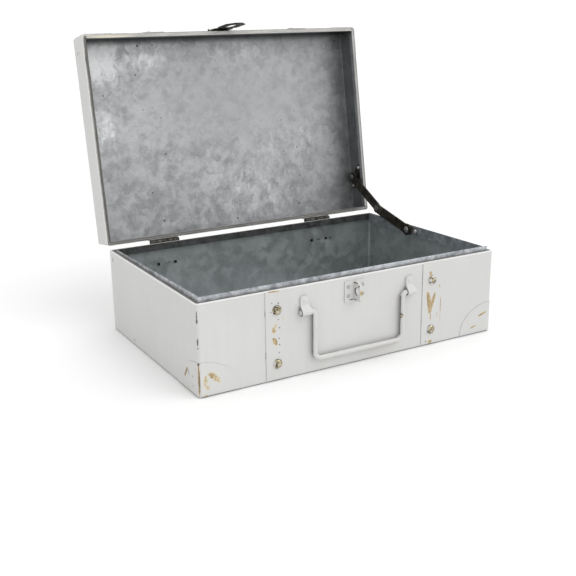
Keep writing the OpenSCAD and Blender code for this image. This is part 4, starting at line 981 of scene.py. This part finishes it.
FLOOR_HALF = 6.0
floor_mesh = bpy.data.meshes.new("floor")
floor_mesh.from_pydata([(-FLOOR_HALF, -FLOOR_HALF, 0), (FLOOR_HALF, -FLOOR_HALF, 0),
                        (FLOOR_HALF, FLOOR_HALF, 0), (-FLOOR_HALF, FLOOR_HALF, 0)], [], [(0, 1, 2, 3)])
floor = bpy.data.objects.new("floor", floor_mesh)
bpy.context.scene.collection.objects.link(floor)
floor_finish = Finish("floor_card")
floor_cloud = floor_finish.ease(floor_finish.noise(floor_finish.object_place, 3.0), 0.3, 0.7)
floor_tone = floor_finish.blend(floor_cloud, (0.915, 0.915, 0.915, 1), (0.935, 0.935, 0.935, 1))
floor.data.materials.append(floor_finish.surface({"Base_Color": floor_tone, "Roughness": 0.9}))

SKY_LIGHT = 1.05
SKY_LEFT_SHARE = 0.80
world = bpy.data.worlds.new("studio")
world.use_nodes = True
studio = world.node_tree
sky_way = studio.nodes.new("ShaderNodeTexCoord")
sky_parts = studio.nodes.new("ShaderNodeSeparateXYZ")
sky_ramp = studio.nodes.new("ShaderNodeMapRange")
studio.links.new(sky_way.outputs["Generated"], sky_parts.inputs[0])
studio.links.new(sky_parts.outputs[0], sky_ramp.inputs["Value"])
for key, value in (("From Min", -1.0), ("From Max", 0.2),
                   ("To Min", SKY_LIGHT * SKY_LEFT_SHARE), ("To Max", SKY_LIGHT)):
    sky_ramp.inputs[key].default_value = value
studio.links.new(sky_ramp.outputs[0], studio.nodes["Background"].inputs[1])
studio.nodes["Background"].inputs[0].default_value = (1.0, 1.0, 1.0, 1)
bpy.context.scene.world = world
bpy.context.scene.view_settings.view_transform = "Standard"

sun = bpy.data.lights.new("soft_key", "SUN")
sun.energy = 0.76
sun.angle = math.radians(50)
sun_lamp = bpy.data.objects.new("soft_key", sun)
sun_lamp.rotation_euler = Vector((-0.45, 0.62, -0.95)).to_track_quat("-Z", "Y").to_euler()
bpy.context.scene.collection.objects.link(sun_lamp)

CAMERA_PLACE = (-0.48904, -0.82200, 0.34378)
CAMERA_YAW = math.radians(29.274)
CAMERA_PITCH = math.radians(16.826)
CAMERA_ROLL = math.radians(-0.941)
camera_data = bpy.data.cameras.new("camera")
camera_data.lens = 55.855
camera_data.sensor_width = 36.0
camera_data.shift_x = 0.0195
camera_data.shift_y = -0.0074
camera = bpy.data.objects.new("camera", camera_data)
level = Vector((math.sin(CAMERA_YAW), math.cos(CAMERA_YAW), 0))
right = Vector((math.cos(CAMERA_YAW), -math.sin(CAMERA_YAW), 0))
ahead = level * math.cos(CAMERA_PITCH) - Vector((0, 0, 1)) * math.sin(CAMERA_PITCH)
above = Vector((0, 0, 1)) * math.cos(CAMERA_PITCH) + level * math.sin(CAMERA_PITCH)
rolled_right = right * math.cos(CAMERA_ROLL) + above * math.sin(CAMERA_ROLL)
rolled_up = above * math.cos(CAMERA_ROLL) - right * math.sin(CAMERA_ROLL)
camera.matrix_world = Matrix((
    (rolled_right.x, rolled_up.x, -ahead.x, CAMERA_PLACE[0]),
    (rolled_right.y, rolled_up.y, -ahead.y, CAMERA_PLACE[1]),
    (rolled_right.z, rolled_up.z, -ahead.z, CAMERA_PLACE[2]),
    (0, 0, 0, 1)))
bpy.context.scene.collection.objects.link(camera)
bpy.context.scene.camera = camera
